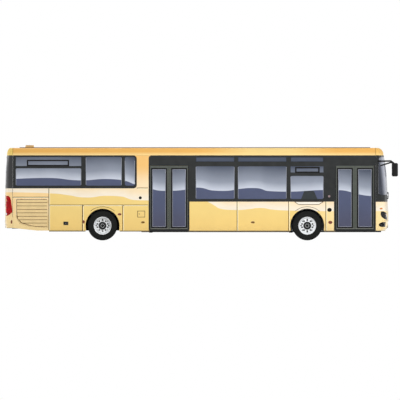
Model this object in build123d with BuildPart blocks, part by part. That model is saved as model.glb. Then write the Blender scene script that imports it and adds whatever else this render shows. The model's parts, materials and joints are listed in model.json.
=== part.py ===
"""Low-entry city bus, thirteen metres long, two axles, two double doors on its right side.

Frame: millimetres, X forward, Y to the left, Z up. The origin lies on the ground, at the
middle of the overall length (rear bumper to mirror heads) and of the width.
"""

import math
import os

from build123d import *

os.makedirs("parts", exist_ok=True)

# ---------------------------------------------------------------- overall sizes
BODY_LENGTH = 13040
BODY_WIDTH = 2550
ROOF_HEIGHT = 3145
REAR_OVERHANG = 3320
FRONT_OVERHANG = 2760
MIRROR_REACH = 325  # the mirror heads stand this far ahead of the nose
WALL = 60  # side wall, skin to lining
SHELL = 34  # moulded nose and tail
SKIRT_Z = 333  # lower edge of the side panels
CANT_Z = 2893  # where the side walls meet the roof
LOW_BELT_Z = 1316  # belt line ahead of the second door
HIGH_BELT_Z = 1768  # belt line beside the raised rear floor
SEAM = 4  # open joint between neighbouring panels

# ---------------------------------------------------------------- running gear
TYRE_RADIUS = 502
TYRE_WIDTH = 300
RIM_RADIUS = 302
ARCH_RADIUS = 578
ARCH_SIDES = 40  # flats in a full turn of the arch's edge
FRONT_TRACK_HALF = 1052  # wheel plane to centre line, steered wheels
KINGPIN_HALF = 905
REAR_TWIN_HALF = 905  # middle of a twin pair to centre line
TWIN_GAP = 40
STEER_CLEARANCE = 620  # radius of the front wheel box

# ---------------------------------------------------------------- inside
LOW_FLOOR_Z = 365
HIGH_FLOOR_Z = 860
FLOOR_T = 25
STEP_RUN = 300

# ---------------------------------------------------------------- doors
DOOR_WIDTH = 1320
DOOR_SILL_Z = 387  # lip of the black frame, under and over the leaves
DOOR_TOP_Z = 2541
JAMB_RISE = 21  # the wall behind stands back from those lips for the door arms
LEAF_T = 36
LEAF_GAP = 20  # jamb to leaf, filled by the rubber edge
LEAF_MEET = 3  # leaf edge to the doorway's middle
LEAF_LIP_GAP = 5
POST_RADIUS = 18
POST_BEHIND_JAMB = 10
POST_INSET = 100  # post axis behind the outer skin
PIN_ALONG = 340  # leaf pin from the jamb
PIN_INSET = 65

HALF = BODY_WIDTH / 2
REAR_X = -(BODY_LENGTH + MIRROR_REACH) / 2
NOSE_X = REAR_X + BODY_LENGTH
REAR_AXLE_X = REAR_X + REAR_OVERHANG
FRONT_AXLE_X = NOSE_X - FRONT_OVERHANG
REAR_SEAM_X = REAR_X + 270
NOSE_SEAM_X = NOSE_X - 429

MID_DOOR_X = REAR_X + 5581  # middle of the second doorway
FRONT_DOOR_X = NOSE_X - 1140  # middle of the first doorway
DOOR_MARGIN = 38  # black frame beside each doorway
PILLAR_FRONT_X = REAR_X + 4485  # painted pillar ahead of the rear windows
PILLAR_WIDTH = 391


def rear(distance):
    """X of a place this far ahead of the rear bumper."""
    return REAR_X + distance


def front(distance):
    """X of a place this far behind the nose."""
    return NOSE_X - distance


def save(solid, name):
    """Labels a finished piece and writes it as a STEP file of that name."""
    solids = solid.solids()
    kept = solids[0] if len(solids) == 1 else Compound(solids)
    kept.label = name
    export_step(kept, f"parts/{name}.step")


def side_plane(y):
    """Sketch plane parallel to the right side: local x is X, local y is Z, normal is -Y."""
    return Plane(origin=(0, y, 0), x_dir=(1, 0, 0), z_dir=(0, -1, 0))


def rectangle(x0, x1, z0, z1):
    """Adds a rectangle by its edges to the sketch in hand."""
    with Locations(((x0 + x1) / 2, (z0 + z1) / 2)):
        Rectangle(x1 - x0, z1 - z0)


def soft_rectangle(width, height, corner, mode=Mode.ADD):
    """Adds a rectangle whose corners are turned in three flats to the sketch in hand."""
    points = []
    for quarter, (side_x, side_y) in enumerate(((1, 1), (-1, 1), (-1, -1), (1, -1))):
        for step in range(4):
            angle = math.radians(90 * quarter + 30 * step)
            x = side_x * (width / 2 - corner) + corner * math.cos(angle)
            points.append((x, side_y * (height / 2 - corner) + corner * math.sin(angle)))
    Polygon(*points, mode=mode)


def block(low, high):
    """A loose box between two corners."""
    size = [b - a for a, b in zip(low, high)]
    return Solid.make_box(*size, Plane(origin=low))


def panelled(rings):
    """Solid between stacked rings of corners, each of its sides one flat panel."""
    panels = [Face(Wire.make_polygon(ring)) for ring in (rings[0], rings[-1])]
    for low, high in zip(rings, rings[1:]):
        for k in range(len(low)):
            panels.append(Face(Wire.make_polygon((low[k - 1], low[k], high[k], high[k - 1]))))
    return Solid(Shell(panels))


def many_sided(levels, sides):
    """Turned solid about the Z axis from its height and radius at each level, in flat sides."""
    rings = []
    for height, radius in levels:
        turns = [2 * math.pi * k / sides for k in range(sides)]
        rings.append([(radius * math.cos(a), radius * math.sin(a), height) for a in turns])
    return panelled(rings)


def bounded(level, lines):
    """Corners, at one level, of the outline inside lines given by bearing and distance."""
    corners = []
    for (first, near), (second, far) in zip(lines, lines[1:] + lines[:1]):
        a0, a1 = math.radians(first), math.radians(second)
        across = math.sin(a1 - a0)
        x = (near * math.sin(a1) - far * math.sin(a0)) / across
        y = (far * math.cos(a0) - near * math.cos(a1)) / across
        corners.append((x, y, level))
    return corners


def about_y(shape):
    """Lays a shape made about the Z axis along the Y axis."""
    return shape.rotate(Axis.X, -90)


def rod(start, finish, radius, sides=6):
    """A loose straight rod between two points."""
    line = Vector(*finish) - Vector(*start)
    shape = many_sided([(0, radius), (line.length, radius)], sides)
    return Plane(origin=start, z_dir=line).location * shape


# ---------------------------------------------------------------- body ends
FRONT_BOW = 6750  # plan radius of the nose
REAR_BOW = 20000  # plan radius of the tail
# level of the section, then how far its tip stands inside the overall length
NOSE_LOW = [(SKIRT_Z, 120), (390, 60), (480, 22), (640, 5), (960, 4), (LOW_BELT_Z, 30)]
NOSE_HIGH = [(LOW_BELT_Z, 30), (1900, 42), (2300, 68), (2620, 106), (CANT_Z, 164)]
TAIL_LOW = [(425, 26), (600, 5), (1000, 9), (HIGH_BELT_Z, 14)]
TAIL_HIGH = [(HIGH_BELT_Z, 14), (2330, 24), (CANT_Z, 70)]
CORNER_START = 9  # the corner begins this far past the seam


def corner_radius(tip, start, bow):
    """Radius of the corner that is tangent to the side at start and to the bowed end."""
    reach = bow - (tip - start)
    return (bow**2 - HALF**2 - reach**2) / (2 * (bow - HALF))


BOW_BEARINGS = {FRONT_BOW: (0, 3, 6), REAR_BOW: (0, 2)}
CORNER_BEARINGS = (13, 26, 39, 52, 65, 78)


def end_section(level, tip, start, bow, inset, root):
    """Corners of one end's plan outline: side, corner, bowed end, corner, side. The end looks
    along X, and root is where it is cut off behind."""
    radius = corner_radius(tip, start, bow)
    half = []
    for bearing in BOW_BEARINGS[bow]:
        half.append((bearing, math.cos(math.radians(bearing)) * (tip - bow) + bow - inset))
    for bearing in CORNER_BEARINGS:
        angle = math.radians(bearing)
        middle = math.cos(angle) * start + math.sin(angle) * (HALF - radius)
        half.append((bearing, middle + radius - inset))
    half.append((90, HALF - inset))
    mirrored = [(-bearing, distance) for bearing, distance in half[:0:-1]]
    return bounded(level, mirrored + half + [(180, -root)])


def nose_block(levels, inset):
    """The solid nose between its levels, every wall moved in by inset."""
    start = NOSE_SEAM_X + CORNER_START
    return panelled(
        [end_section(z, NOSE_X - back, start, FRONT_BOW, inset, NOSE_SEAM_X) for z, back in levels]
    )


def tail_block(levels, inset):
    """The solid tail between its levels, built forwards and turned to face back."""
    start = -REAR_SEAM_X + CORNER_START
    made = panelled(
        [end_section(z, -REAR_X - ahead, start, REAR_BOW, inset, -REAR_SEAM_X) for z, ahead in levels]
    )
    return made.rotate(Axis.Z, 180)


# ---------------------------------------------------------------- roof
ROOF_SIDE_COVE = 250
ROOF_FRONT_COVE = 200
ROOF_REAR_COVE = 115
ROOF_T = 42
ROOF_STEPS = 5
CEILING_STEPS = 3
ROOF_CORNER = 160


ROOF_BEARINGS = (16, 32, 48, 64, 80)


def roof_section(level, side, nose, tail):
    """Corners of the roof's plan outline at one level, both ends bowed and rounded."""
    half = HALF - side
    quarter_sets = []
    for tip, bow in ((NOSE_X - nose, FRONT_BOW), (-REAR_X - tail, REAR_BOW)):
        reach = math.sqrt((bow - ROOF_CORNER) ** 2 - (half - ROOF_CORNER) ** 2)
        lines = [
            (bearing, math.cos(math.radians(bearing)) * (tip - bow) + bow) for bearing in BOW_BEARINGS[bow]
        ]
        for bearing in ROOF_BEARINGS:
            angle = math.radians(bearing)
            middle = math.cos(angle) * (tip - bow + reach) + math.sin(angle) * (half - ROOF_CORNER)
            lines.append((bearing, middle + ROOF_CORNER))
        quarter_sets.append(lines)
    fore, aft = quarter_sets
    around = fore + [(90, half)]
    around += [(180 - bearing, distance) for bearing, distance in aft[::-1]]
    around += [(180 + bearing, distance) for bearing, distance in aft[1:]]
    around += [(270, half)]
    around += [(360 - bearing, distance) for bearing, distance in fore[:0:-1]]
    return bounded(level, around)


def roof_block(inset, steps):
    """Domed roof solid, its sides and top moved in by inset."""
    height = ROOF_HEIGHT - CANT_Z - inset
    rings = []
    for k in range(steps):
        angle = math.radians(90 * k / (steps - 1))
        share = 1 - math.cos(angle)
        rings.append(
            roof_section(
                CANT_Z + height * math.sin(angle),
                inset + ROOF_SIDE_COVE * share,
                164 + inset + ROOF_FRONT_COVE * share,
                70 + inset + ROOF_REAR_COVE * share,
            )
        )
    return panelled(rings)


with BuildPart() as roof:
    add(roof_block(0, ROOF_STEPS))
    add(roof_block(ROOF_T, CEILING_STEPS), mode=Mode.SUBTRACT)
save(roof.part, "roof")

# ---------------------------------------------------------------- nose and tail
SCREEN_EDGE_X = NOSE_SEAM_X + 85  # where the windscreen ends on the bus's side
SCREEN_SILL_Z = 1540
SCREEN_HEAD_Z = 2838
GLASS_T = 7
NOSE_FACE = NOSE_X + 200  # past the nose


def screen_opening(margin):
    """Block through the nose, as seen from the side, that bounds the windscreen."""
    with BuildPart() as made:
        with BuildSketch(side_plane(HALF + 50)):
            with Locations(((SCREEN_EDGE_X + NOSE_FACE) / 2, (SCREEN_SILL_Z + SCREEN_HEAD_Z) / 2)):
                size = (NOSE_FACE - SCREEN_EDGE_X, SCREEN_HEAD_Z - SCREEN_SILL_Z)
                soft_rectangle(size[0] - 2 * margin, size[1] - 2 * margin, 90 - margin)
        extrude(amount=2 * HALF + 100)
    return made.part


def lens_prism(points, share):
    """Block along X on both sides whose outline is given in y and z, sized by share."""
    middle_y = sum(y for y, _ in points) / len(points)
    middle_z = sum(z for _, z in points) / len(points)
    outline = [(middle_y + (y - middle_y) * share, middle_z + (z - middle_z) * share) for y, z in points]
    with BuildPart() as made:
        with BuildSketch(Plane.YZ.offset(NOSE_X - 270)):
            with BuildLine():
                Polyline(*outline, outline[0])
            make_face()
        extrude(amount=400)
        mirror(about=Plane.XZ)
    return made.part


# leaf-shaped lamp: brow from the inner tip outwards, then back under it
HEADLAMP = [
    (630, 700),
    (705, 782),
    (800, 850),
    (960, 925),
    (1100, 965),
    (1240, 985),
    (1222, 900),
    (1170, 820),
    (1080, 762),
    (960, 722),
    (800, 698),
]
FOG_LAMP = (1137, 541, 97, 83)  # middle from the centre line, its level, half width, half height


def fog_prism(margin):
    """Round-cornered block along X at each bumper corner."""
    with BuildPart() as made:
        with BuildSketch(Plane.YZ.offset(NOSE_X - 400)) as outline:
            with Locations((FOG_LAMP[0], FOG_LAMP[1]), (-FOG_LAMP[0], FOG_LAMP[1])):
                Rectangle(2 * (FOG_LAMP[2] - margin), 2 * (FOG_LAMP[3] - margin))
            chamfer(outline.vertices(), 26)
        extrude(amount=500)
    return made.part


lower_outer = nose_block(NOSE_LOW, 0)
lower_inner = nose_block(NOSE_LOW, SHELL)
upper_outer = nose_block(NOSE_HIGH, 0)
upper_inner = nose_block(NOSE_HIGH, SHELL)
lower_skin = lower_outer - lower_inner
upper_skin = upper_outer - upper_inner
past_seam = block((NOSE_SEAM_X - 50, -1400, 0), (NOSE_SEAM_X + SEAM / 2, 1400, 3300))

with BuildPart() as front_mask:
    add(lower_skin)
    add(past_seam, mode=Mode.SUBTRACT)
    # the mask ends a joint's width under the windscreen frame
    add(block((5800, -1400, LOW_BELT_Z - SEAM), (7000, 1400, 1400)), mode=Mode.SUBTRACT)
    add(lens_prism(HEADLAMP, 1), mode=Mode.SUBTRACT)
    add(fog_prism(0), mode=Mode.SUBTRACT)
    # air intake slot and the towing eye's hatch in the bumper
    with Locations((NOSE_X, 0, 600)):
        Box(300, 900, 90, mode=Mode.SUBTRACT)
    add(rod((NOSE_X - 230, -450, 430), (NOSE_X + 100, -450, 430), 45, 12), mode=Mode.SUBTRACT)
save(front_mask.part, "front_mask")

with BuildPart() as headlamps:
    add(lower_outer)
    add(nose_block(NOSE_LOW, 90), mode=Mode.SUBTRACT)
    add(lens_prism(HEADLAMP, 0.985), mode=Mode.INTERSECT)
with BuildPart() as fog_lamps:
    add(nose_block(NOSE_LOW, 4))
    add(nose_block(NOSE_LOW, 60), mode=Mode.SUBTRACT)
    add(fog_prism(3), mode=Mode.INTERSECT)
with BuildPart() as front_lamps:
    add(headlamps.part)
    add(fog_lamps.part)
save(front_lamps.part, "headlamps")

with BuildPart() as windscreen:
    add(nose_block(NOSE_HIGH, 3) - nose_block(NOSE_HIGH, 3 + GLASS_T))
    add(screen_opening(5), mode=Mode.INTERSECT)
save(windscreen.part, "windscreen")

with BuildPart() as nose_frame:
    add(upper_skin)
    add(screen_opening(0), mode=Mode.SUBTRACT)
    add(past_seam, mode=Mode.SUBTRACT)

REAR_WINDOW = (1000, 1900, 2750)  # half width, sill, head
LID_HALF = 850
LID_SILL_Z = 560
LID_HEAD_Z = 1700
LID_GAP = 6
TAIL_LAMP = [(14, 1510), (170, 1400), (224, 950), (20, 830)]  # ahead of the tail, level

tail_low = tail_block(TAIL_LOW, 0) - tail_block(TAIL_LOW, SHELL)
tail_high = tail_block(TAIL_HIGH, 0) - tail_block(TAIL_HIGH, SHELL)


def tail_prism(half, low, high, radius):
    """Block through the tail, seen from behind as a round-cornered rectangle."""
    with BuildPart() as made:
        with BuildSketch(Plane.YZ.offset(REAR_X - 60)):
            with Locations((0, (low + high) / 2)):
                soft_rectangle(2 * half, high - low, radius)
        extrude(amount=320)
    return made.part


def tail_lamp_prism(margin):
    """Block across the bus with the tail lamp's outline, cut free in the middle."""
    with BuildPart() as made:
        with BuildSketch(side_plane(HALF + 50)):
            with BuildLine():
                Polyline(*[(rear(a), z) for a, z in TAIL_LAMP], (rear(TAIL_LAMP[0][0]), TAIL_LAMP[0][1]))
            make_face()
            with BuildLine():
                Polyline(
                    (rear(-60), 1510), (rear(14), 1510), (rear(20), 830), (rear(-60), 830), (rear(-60), 1510)
                )
            make_face()
            if margin:
                offset(amount=margin)
        extrude(amount=2 * HALF + 100)
        middle = 1040 - margin
        add(block((rear(-200), -middle, 600), (rear(400), middle, 1800)), mode=Mode.SUBTRACT)
    return made.part


rear_past_seam = block((REAR_SEAM_X - SEAM / 2, -1400, 0), (REAR_SEAM_X + 50, 1400, 3300))

with BuildPart() as rear_mask:
    add(tail_low)
    add(tail_high)
    add(rear_past_seam, mode=Mode.SUBTRACT)
    add(tail_prism(REAR_WINDOW[0] + 40, REAR_WINDOW[1] - 40, REAR_WINDOW[2] + 40, 110), mode=Mode.SUBTRACT)
    add(tail_prism(LID_HALF + LID_GAP, LID_SILL_Z - LID_GAP, LID_HEAD_Z + LID_GAP, 20), mode=Mode.SUBTRACT)
    add(tail_lamp_prism(0), mode=Mode.SUBTRACT)
save(rear_mask.part, "rear_mask")

with BuildPart() as tail_lamps:
    add(tail_block(TAIL_LOW, 0) - tail_block(TAIL_LOW, 70))
    add(tail_lamp_prism(-3), mode=Mode.INTERSECT)
save(tail_lamps.part, "tail_lamps")

# frame and pane of the rear window
tail_frame = (tail_block(TAIL_HIGH, 2) - tail_block(TAIL_HIGH, 22)) & tail_prism(
    REAR_WINDOW[0] + 36, REAR_WINDOW[1] - 36, REAR_WINDOW[2] + 36, 106
)
tail_frame = tail_frame - (
    (tail_block(TAIL_HIGH, -5) - tail_block(TAIL_HIGH, 10)) & tail_prism(*REAR_WINDOW, 80)
)
tail_frame = tail_frame - tail_prism(REAR_WINDOW[0] - 12, REAR_WINDOW[1] + 12, REAR_WINDOW[2] - 12, 68)
tail_pane = (tail_block(TAIL_HIGH, 3) - tail_block(TAIL_HIGH, 9)) & tail_prism(
    REAR_WINDOW[0] - 1, REAR_WINDOW[1] + 1, REAR_WINDOW[2] - 1, 79
)

# engine lid, hinged along its upper edge
LID_HINGE_Z = LID_HEAD_Z + 20
with BuildPart() as engine_lid:
    add(tail_low)
    add(tail_prism(LID_HALF, LID_SILL_Z, LID_HEAD_Z, 14), mode=Mode.INTERSECT)
    # inner frame and pull handle recess
    with Locations((REAR_X + 60, 0, LID_SILL_Z + 60), (REAR_X + 60, 0, LID_HEAD_Z - 60)):
        Box(44, 2 * LID_HALF - 120, 60)
save(engine_lid.part, "engine_lid")


# ---------------------------------------------------------------- side walls
BAND_DEPTH = 18
PANE_LAP = 12
JAMB_STEP = 14  # the wall stands back from the door frame's edge
PANE_SET_BACK = 4  # pane's outer face behind the skin
PANE_T = 6
GROOVE = 5

MID_DOOR_X0, MID_DOOR_X1 = MID_DOOR_X - DOOR_WIDTH / 2, MID_DOOR_X + DOOR_WIDTH / 2
FRONT_DOOR_X0, FRONT_DOOR_X1 = FRONT_DOOR_X - DOOR_WIDTH / 2, FRONT_DOOR_X + DOOR_WIDTH / 2
WINDOW_A_X0 = MID_DOOR_X + 910
WINDOW_C_X0, WINDOW_C_X1 = front(3326), front(2211)
WINDOW_B_X1 = WINDOW_C_X0 - 140
MULLION = 122
WINDOW_A_X1 = WINDOW_A_X0 + (WINDOW_B_X1 - WINDOW_A_X0 - MULLION) * 0.443
WINDOW_B_X0 = WINDOW_A_X1 + MULLION

# panes of the side windows: side of the bus (R, L or both), X of both edges, Z of both edges, corner
PANES = [
    ("RL", rear(371), rear(2594), 1863, 2451, 40),
    ("RL", rear(371), rear(2594), 2530, 2835, 0),
    ("RL", rear(2751), rear(3968), 1863, 2835, 40),
    ("RL", rear(4077), rear(4417), 1863, 2835, 60),
    ("RL", WINDOW_A_X0, WINDOW_A_X1, 1408, 2519, 40),
    ("RL", WINDOW_A_X0, WINDOW_A_X1, 2672, 2835, 0),
    ("RL", WINDOW_B_X0, WINDOW_B_X1, 1408, 2519, 40),
    ("RL", WINDOW_B_X0, WINDOW_B_X1, 2672, 2835, 0),
    ("RL", WINDOW_C_X0, WINDOW_C_X1, 1408, 2190, 40),
    ("RL", WINDOW_C_X0, WINDOW_C_X1, 2311, 2519, 0),
    ("RL", WINDOW_C_X0, WINDOW_C_X1, 2672, 2835, 0),
    ("L", MID_DOOR_X0 + 40, MID_DOOR_X1 + 130, 1408, 2519, 40),
    ("L", MID_DOOR_X0 + 40, MID_DOOR_X1 + 130, 2672, 2835, 0),
    ("L", front(1900), front(500), 1408, 2835, 60),
]
# black bands round the windows: X of both edges, Z of both edges, corner radius at the ends
REAR_BAND = (REAR_SEAM_X + 2, PILLAR_FRONT_X, HIGH_BELT_Z, CANT_Z - 2, 120)
FRONT_BAND = (PILLAR_FRONT_X + PILLAR_WIDTH + 10, NOSE_SEAM_X - 2, LOW_BELT_Z, CANT_Z - 2, 100)
MID_FRAME = (MID_DOOR_X0 - 35, MID_DOOR_X1 + 35)
FRONT_FRAME = (FRONT_DOOR_X0 - 51, NOSE_SEAM_X - 2)
GRILLE = [(377, 1408), (1465, 1408), (1465, 425), (800, 480), (500, 560), (377, 780)]
FLAP = (rear(1526), rear(2620), 350, 1200)  # service flap: X edges, Z edges
SKIRT_SEAM_Z = 1210
ARCHES = (REAR_AXLE_X, FRONT_AXLE_X)
DOORWAYS = ((MID_DOOR_X0, MID_DOOR_X1), (FRONT_DOOR_X0, FRONT_DOOR_X1))


def pane_outline(pane, margin):
    """Adds one pane's outline, grown by margin, to the sketch in hand."""
    _, x0, x1, z0, z1, corner = pane
    with Locations(((x0 + x1) / 2, (z0 + z1) / 2)):
        if corner:
            soft_rectangle(x1 - x0 + 2 * margin, z1 - z0 + 2 * margin, corner)
        else:
            Rectangle(x1 - x0 + 2 * margin, z1 - z0 + 2 * margin)


def pane_square(pane, margin):
    """Adds one pane's square-cornered outline, grown by margin, to the sketch in hand."""
    pane_outline((*pane[:5], 0), margin)


def band_sketch(side, margin):
    """Outline of the black bands on one side, each edge moved out by margin."""
    with BuildSketch(side_plane(-HALF)) as made:
        for x0, x1, z0, z1, corner in (REAR_BAND, FRONT_BAND):
            with BuildSketch(side_plane(-HALF), mode=Mode.PRIVATE) as band:
                rectangle(x0, x1, z0, z1)
                low_end = x1 if corner == REAR_BAND[4] else x0
                fillet(band.vertices().sort_by(lambda v: abs(v.X - low_end))[:2], corner)
            add(band.sketch)
            if side == "R" and x0 == FRONT_BAND[0]:
                rectangle(*MID_FRAME, SKIRT_Z, CANT_Z - 300)
                rectangle(*FRONT_FRAME, SKIRT_Z, CANT_Z - 300)
        if margin:
            offset(amount=margin, kind=Kind.INTERSECTION)
    return made.sketch


def wall_and_frames(side):
    """One side wall and the black window bands let into it, both for the right side."""
    panes = [pane for pane in PANES if side in pane[0]]
    bands = band_sketch(side, 0)
    with BuildPart() as wall:
        with BuildSketch(side_plane(-HALF)):
            rectangle(REAR_SEAM_X + SEAM / 2, NOSE_SEAM_X - SEAM / 2, SKIRT_Z, CANT_Z - SEAM)
            for axle_x in ARCHES:
                with Locations((axle_x, TYRE_RADIUS)):
                    RegularPolygon(ARCH_RADIUS, ARCH_SIDES, mode=Mode.SUBTRACT)
                rectangle_low = TYRE_RADIUS + 40
                with Locations((axle_x, rectangle_low / 2)):
                    Rectangle(2 * ARCH_RADIUS - 20, rectangle_low, mode=Mode.SUBTRACT)
            with BuildLine():
                Polyline(*[(rear(a), z) for a, z in GRILLE], (rear(GRILLE[0][0]), GRILLE[0][1]))
            make_face(mode=Mode.SUBTRACT)
            # lower rear corner sweeps up towards the tail
            with BuildLine():
                Polyline((rear(260), 300), (rear(260), 425), (rear(1100), SKIRT_Z), (rear(1100), 300), (rear(260), 300))
            make_face(mode=Mode.SUBTRACT)
            if side == "R":
                gap = LID_GAP
                with Locations(((FLAP[0] + FLAP[1]) / 2, (FLAP[2] + FLAP[3]) / 2)):
                    Rectangle(FLAP[1] - FLAP[0] + 2 * gap, FLAP[3] - FLAP[2] + 2 * gap, mode=Mode.SUBTRACT)
        extrude(amount=-WALL)
        # recess for the bands
        with BuildSketch(side_plane(-HALF)):
            add(bands)
        extrude(amount=-BAND_DEPTH, mode=Mode.SUBTRACT)
        # window and door openings
        with BuildSketch(side_plane(-HALF)):
            for pane in panes:
                pane_square(pane, 0)
            if side == "R":
                for x0, x1 in DOORWAYS:
                    rectangle(
                        x0 - JAMB_STEP, x1 + JAMB_STEP, DOOR_SILL_Z - JAMB_RISE, DOOR_TOP_Z + JAMB_RISE
                    )
        extrude(amount=-WALL, mode=Mode.SUBTRACT)
        # seams between the painted panels
        with BuildSketch(side_plane(-HALF)):
            low_end = MID_FRAME[0] if side == "R" else PILLAR_FRONT_X + PILLAR_WIDTH
            rectangle(rear(1513) - 2, rear(1513) + 2, 300, HIGH_BELT_Z)
            rectangle(rear(4002) - 2, rear(4002) + 2, 300, HIGH_BELT_Z)
            rectangle(rear(1533), low_end, SKIRT_SEAM_Z - 2, SKIRT_SEAM_Z + 2)
            rectangle(REAR_SEAM_X, rear(1513), 1457, 1461)
            rectangle(PILLAR_FRONT_X, PILLAR_FRONT_X + PILLAR_WIDTH + 10, 1798, 1802)
            for seam_x in (WINDOW_A_X1 + 82, WINDOW_B_X1 + 58, front(2146)):
                rectangle(seam_x - 2, seam_x + 2, 300, LOW_BELT_Z)
            if side == "L":
                for x0, x1, z0, z1 in ((rear(1520), rear(2625), 345, 1205),):
                    rectangle(x0, x1, z0, z1)
                    with Locations(((x0 + x1) / 2, (z0 + z1) / 2)):
                        Rectangle(x1 - x0 - 8, z1 - z0 - 8, mode=Mode.SUBTRACT)
        extrude(amount=-GROOVE, mode=Mode.SUBTRACT)
    with BuildPart() as frames:
        with BuildSketch(side_plane(-HALF + 1)):
            add(Pos(0, 1, 0) * band_sketch(side, -2))
            for pane in panes:
                with BuildSketch(side_plane(-HALF), mode=Mode.PRIVATE) as cut:
                    pane_outline(pane, 0)
                add(Pos(0, 1, 0) * cut.sketch, mode=Mode.SUBTRACT)
        extrude(amount=-(BAND_DEPTH - 1))
        # the panes sit behind the frame's lip
        with BuildSketch(side_plane(-HALF + PANE_SET_BACK)):
            for pane in panes:
                with BuildSketch(side_plane(-HALF), mode=Mode.PRIVATE) as rebate:
                    pane_square(pane, PANE_LAP + 1)
                add(Pos(0, PANE_SET_BACK, 0) * rebate.sketch)
        extrude(amount=-BAND_DEPTH, mode=Mode.SUBTRACT)
        if side == "R":
            with BuildSketch(side_plane(-HALF)):
                for x0, x1 in DOORWAYS:
                    rectangle(x0, x1, DOOR_SILL_Z, DOOR_TOP_Z)
            extrude(amount=-WALL, mode=Mode.SUBTRACT)
    with BuildPart() as glass:
        with BuildSketch(side_plane(-HALF + PANE_SET_BACK)):
            for pane in panes:
                with BuildSketch(side_plane(-HALF), mode=Mode.PRIVATE) as plate:
                    pane_square(pane, PANE_LAP)
                add(Pos(0, PANE_SET_BACK, 0) * plate.sketch)
        extrude(amount=-PANE_T)
    return wall.part, frames.part, glass.part


right_wall, right_frames, right_glass = wall_and_frames("R")
left_wall, left_frames, left_glass = wall_and_frames("L")
save(right_wall, "side_wall_right")
save(left_wall.mirror(Plane.XZ), "side_wall_left")
with BuildPart() as window_frames:
    add(right_frames)
    add(left_frames.mirror(Plane.XZ))
save(window_frames.part, "window_frames")
save(nose_frame.part, "nose_frame")
save(tail_frame, "tail_frame")
with BuildPart() as fixed_windows:
    add(right_glass)
    add(left_glass.mirror(Plane.XZ))
    add(tail_pane)
save(fixed_windows.part, "fixed_windows")

# ---------------------------------------------------------------- grille, flap and vents
GRILLE_BARS = 8
with BuildPart() as side_grille:
    with BuildSketch(side_plane(-HALF + 3)):
        with BuildLine():
            Polyline(*[(rear(a), z) for a, z in GRILLE], (rear(GRILLE[0][0]), GRILLE[0][1]))
        make_face()
        offset(amount=-4, kind=Kind.INTERSECTION)
    extrude(amount=-37)
    bar_pitch = (GRILLE[0][1] - GRILLE[4][1]) / GRILLE_BARS
    with BuildSketch(side_plane(-HALF)):
        for k in range(GRILLE_BARS):
            level = GRILLE[0][1] - bar_pitch * (k + 0.5)
            x0 = rear(400) if level > 790 else rear(430 + (790 - level) * 0.5)
            if level > 600:
                rectangle(x0, rear(1440), level - 34, level + 34)
    extrude(amount=-28, mode=Mode.SUBTRACT)
    mirror(about=Plane.XZ)
save(side_grille.part, "side_grille")

with BuildPart() as service_flap:
    with BuildSketch(side_plane(-HALF)):
        rectangle(*FLAP)
    extrude(amount=-30)
    with BuildSketch(side_plane(-HALF + 30)):
        rectangle(FLAP[0] + 40, FLAP[1] - 40, FLAP[2] + 40, FLAP[3] - 40)
    extrude(amount=22, mode=Mode.SUBTRACT)
save(service_flap.part, "service_flap")

ROOF_VENT = (rear(683), rear(1006), 420, 92)  # X edges, half width, height
with BuildPart() as roof_vent:
    with BuildSketch(Plane.XY.offset(ROOF_HEIGHT - 4)) as vent_outline:
        with Locations(((ROOF_VENT[0] + ROOF_VENT[1]) / 2, 0)):
            Rectangle(ROOF_VENT[1] - ROOF_VENT[0], 2 * ROOF_VENT[2])
        chamfer(vent_outline.vertices(), 50)
    extrude(amount=ROOF_VENT[3] + 4, taper=16)
    add(roof.part, mode=Mode.SUBTRACT)
save(roof_vent.part.solids().sort_by(Axis.Z)[-1], "roof_vent")

# ---------------------------------------------------------------- floor and chassis
STEP_X = rear(4800)  # first riser behind the low floor
STEP_RISE = (HIGH_FLOOR_Z - LOW_FLOOR_Z) / 3
INNER = HALF - WALL - 3
BOX_T = 25
BOX_SIDES = 16


def wheel_box(axle_x, radius, inner_y, base_z):
    """Folded housing over a wheel of the right side, open below and to the outside."""
    half_turn = 180 / BOX_SIDES
    to_corner = math.cos(math.radians(half_turn))
    with BuildPart() as made:
        with BuildSketch(side_plane(-INNER)):
            with Locations((axle_x, TYRE_RADIUS)):
                RegularPolygon((radius + BOX_T) / to_corner, BOX_SIDES, rotation=half_turn)
            with Locations((axle_x, (base_z + TYRE_RADIUS) / 2)):
                Rectangle(2 * (radius + BOX_T), TYRE_RADIUS - base_z)
            with Locations((axle_x, base_z - 500)):
                Rectangle(3000, 1000, mode=Mode.SUBTRACT)
        extrude(amount=-(INNER - inner_y + BOX_T))
        with BuildSketch(side_plane(-INNER - 10)):
            with Locations((axle_x, TYRE_RADIUS)):
                RegularPolygon(radius / to_corner, BOX_SIDES, rotation=half_turn)
            with Locations((axle_x, TYRE_RADIUS / 2)):
                Rectangle(2 * radius, TYRE_RADIUS)
        extrude(amount=-(INNER - inner_y + 10), mode=Mode.SUBTRACT)
    return made.part


FRONT_BOX_Y = 545
REAR_BOX_Y = 560
# wheel boxes: axle, clear radius, inner wall from the centre line, lower edge
WHEEL_BOXES = [
    (REAR_AXLE_X, 610, REAR_BOX_Y, HIGH_FLOOR_Z - FLOOR_T),
    (FRONT_AXLE_X, STEER_CLEARANCE, FRONT_BOX_Y, LOW_FLOOR_Z - FLOOR_T),
]


def cut_for_boxes():
    """Takes the wheel boxes' places out of the floor in hand."""
    for axle_x, radius, inner_y, _ in WHEEL_BOXES:
        reach = radius + BOX_T
        for side in (-1, 1):
            y0, y1 = sorted((side * (inner_y - BOX_T), side * 1300))
            add(block((axle_x - reach, y0, 100), (axle_x + reach, y1, 900)), mode=Mode.SUBTRACT)


with BuildPart() as floor_low:
    add(block((STEP_X, -INNER, LOW_FLOOR_Z - FLOOR_T), (front(440), INNER, LOW_FLOOR_Z)))
    add(block((front(441), -900, LOW_FLOOR_Z - FLOOR_T), (front(300), 900, LOW_FLOOR_Z)))
    cut_for_boxes()
save(floor_low.part, "floor_low")

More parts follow.
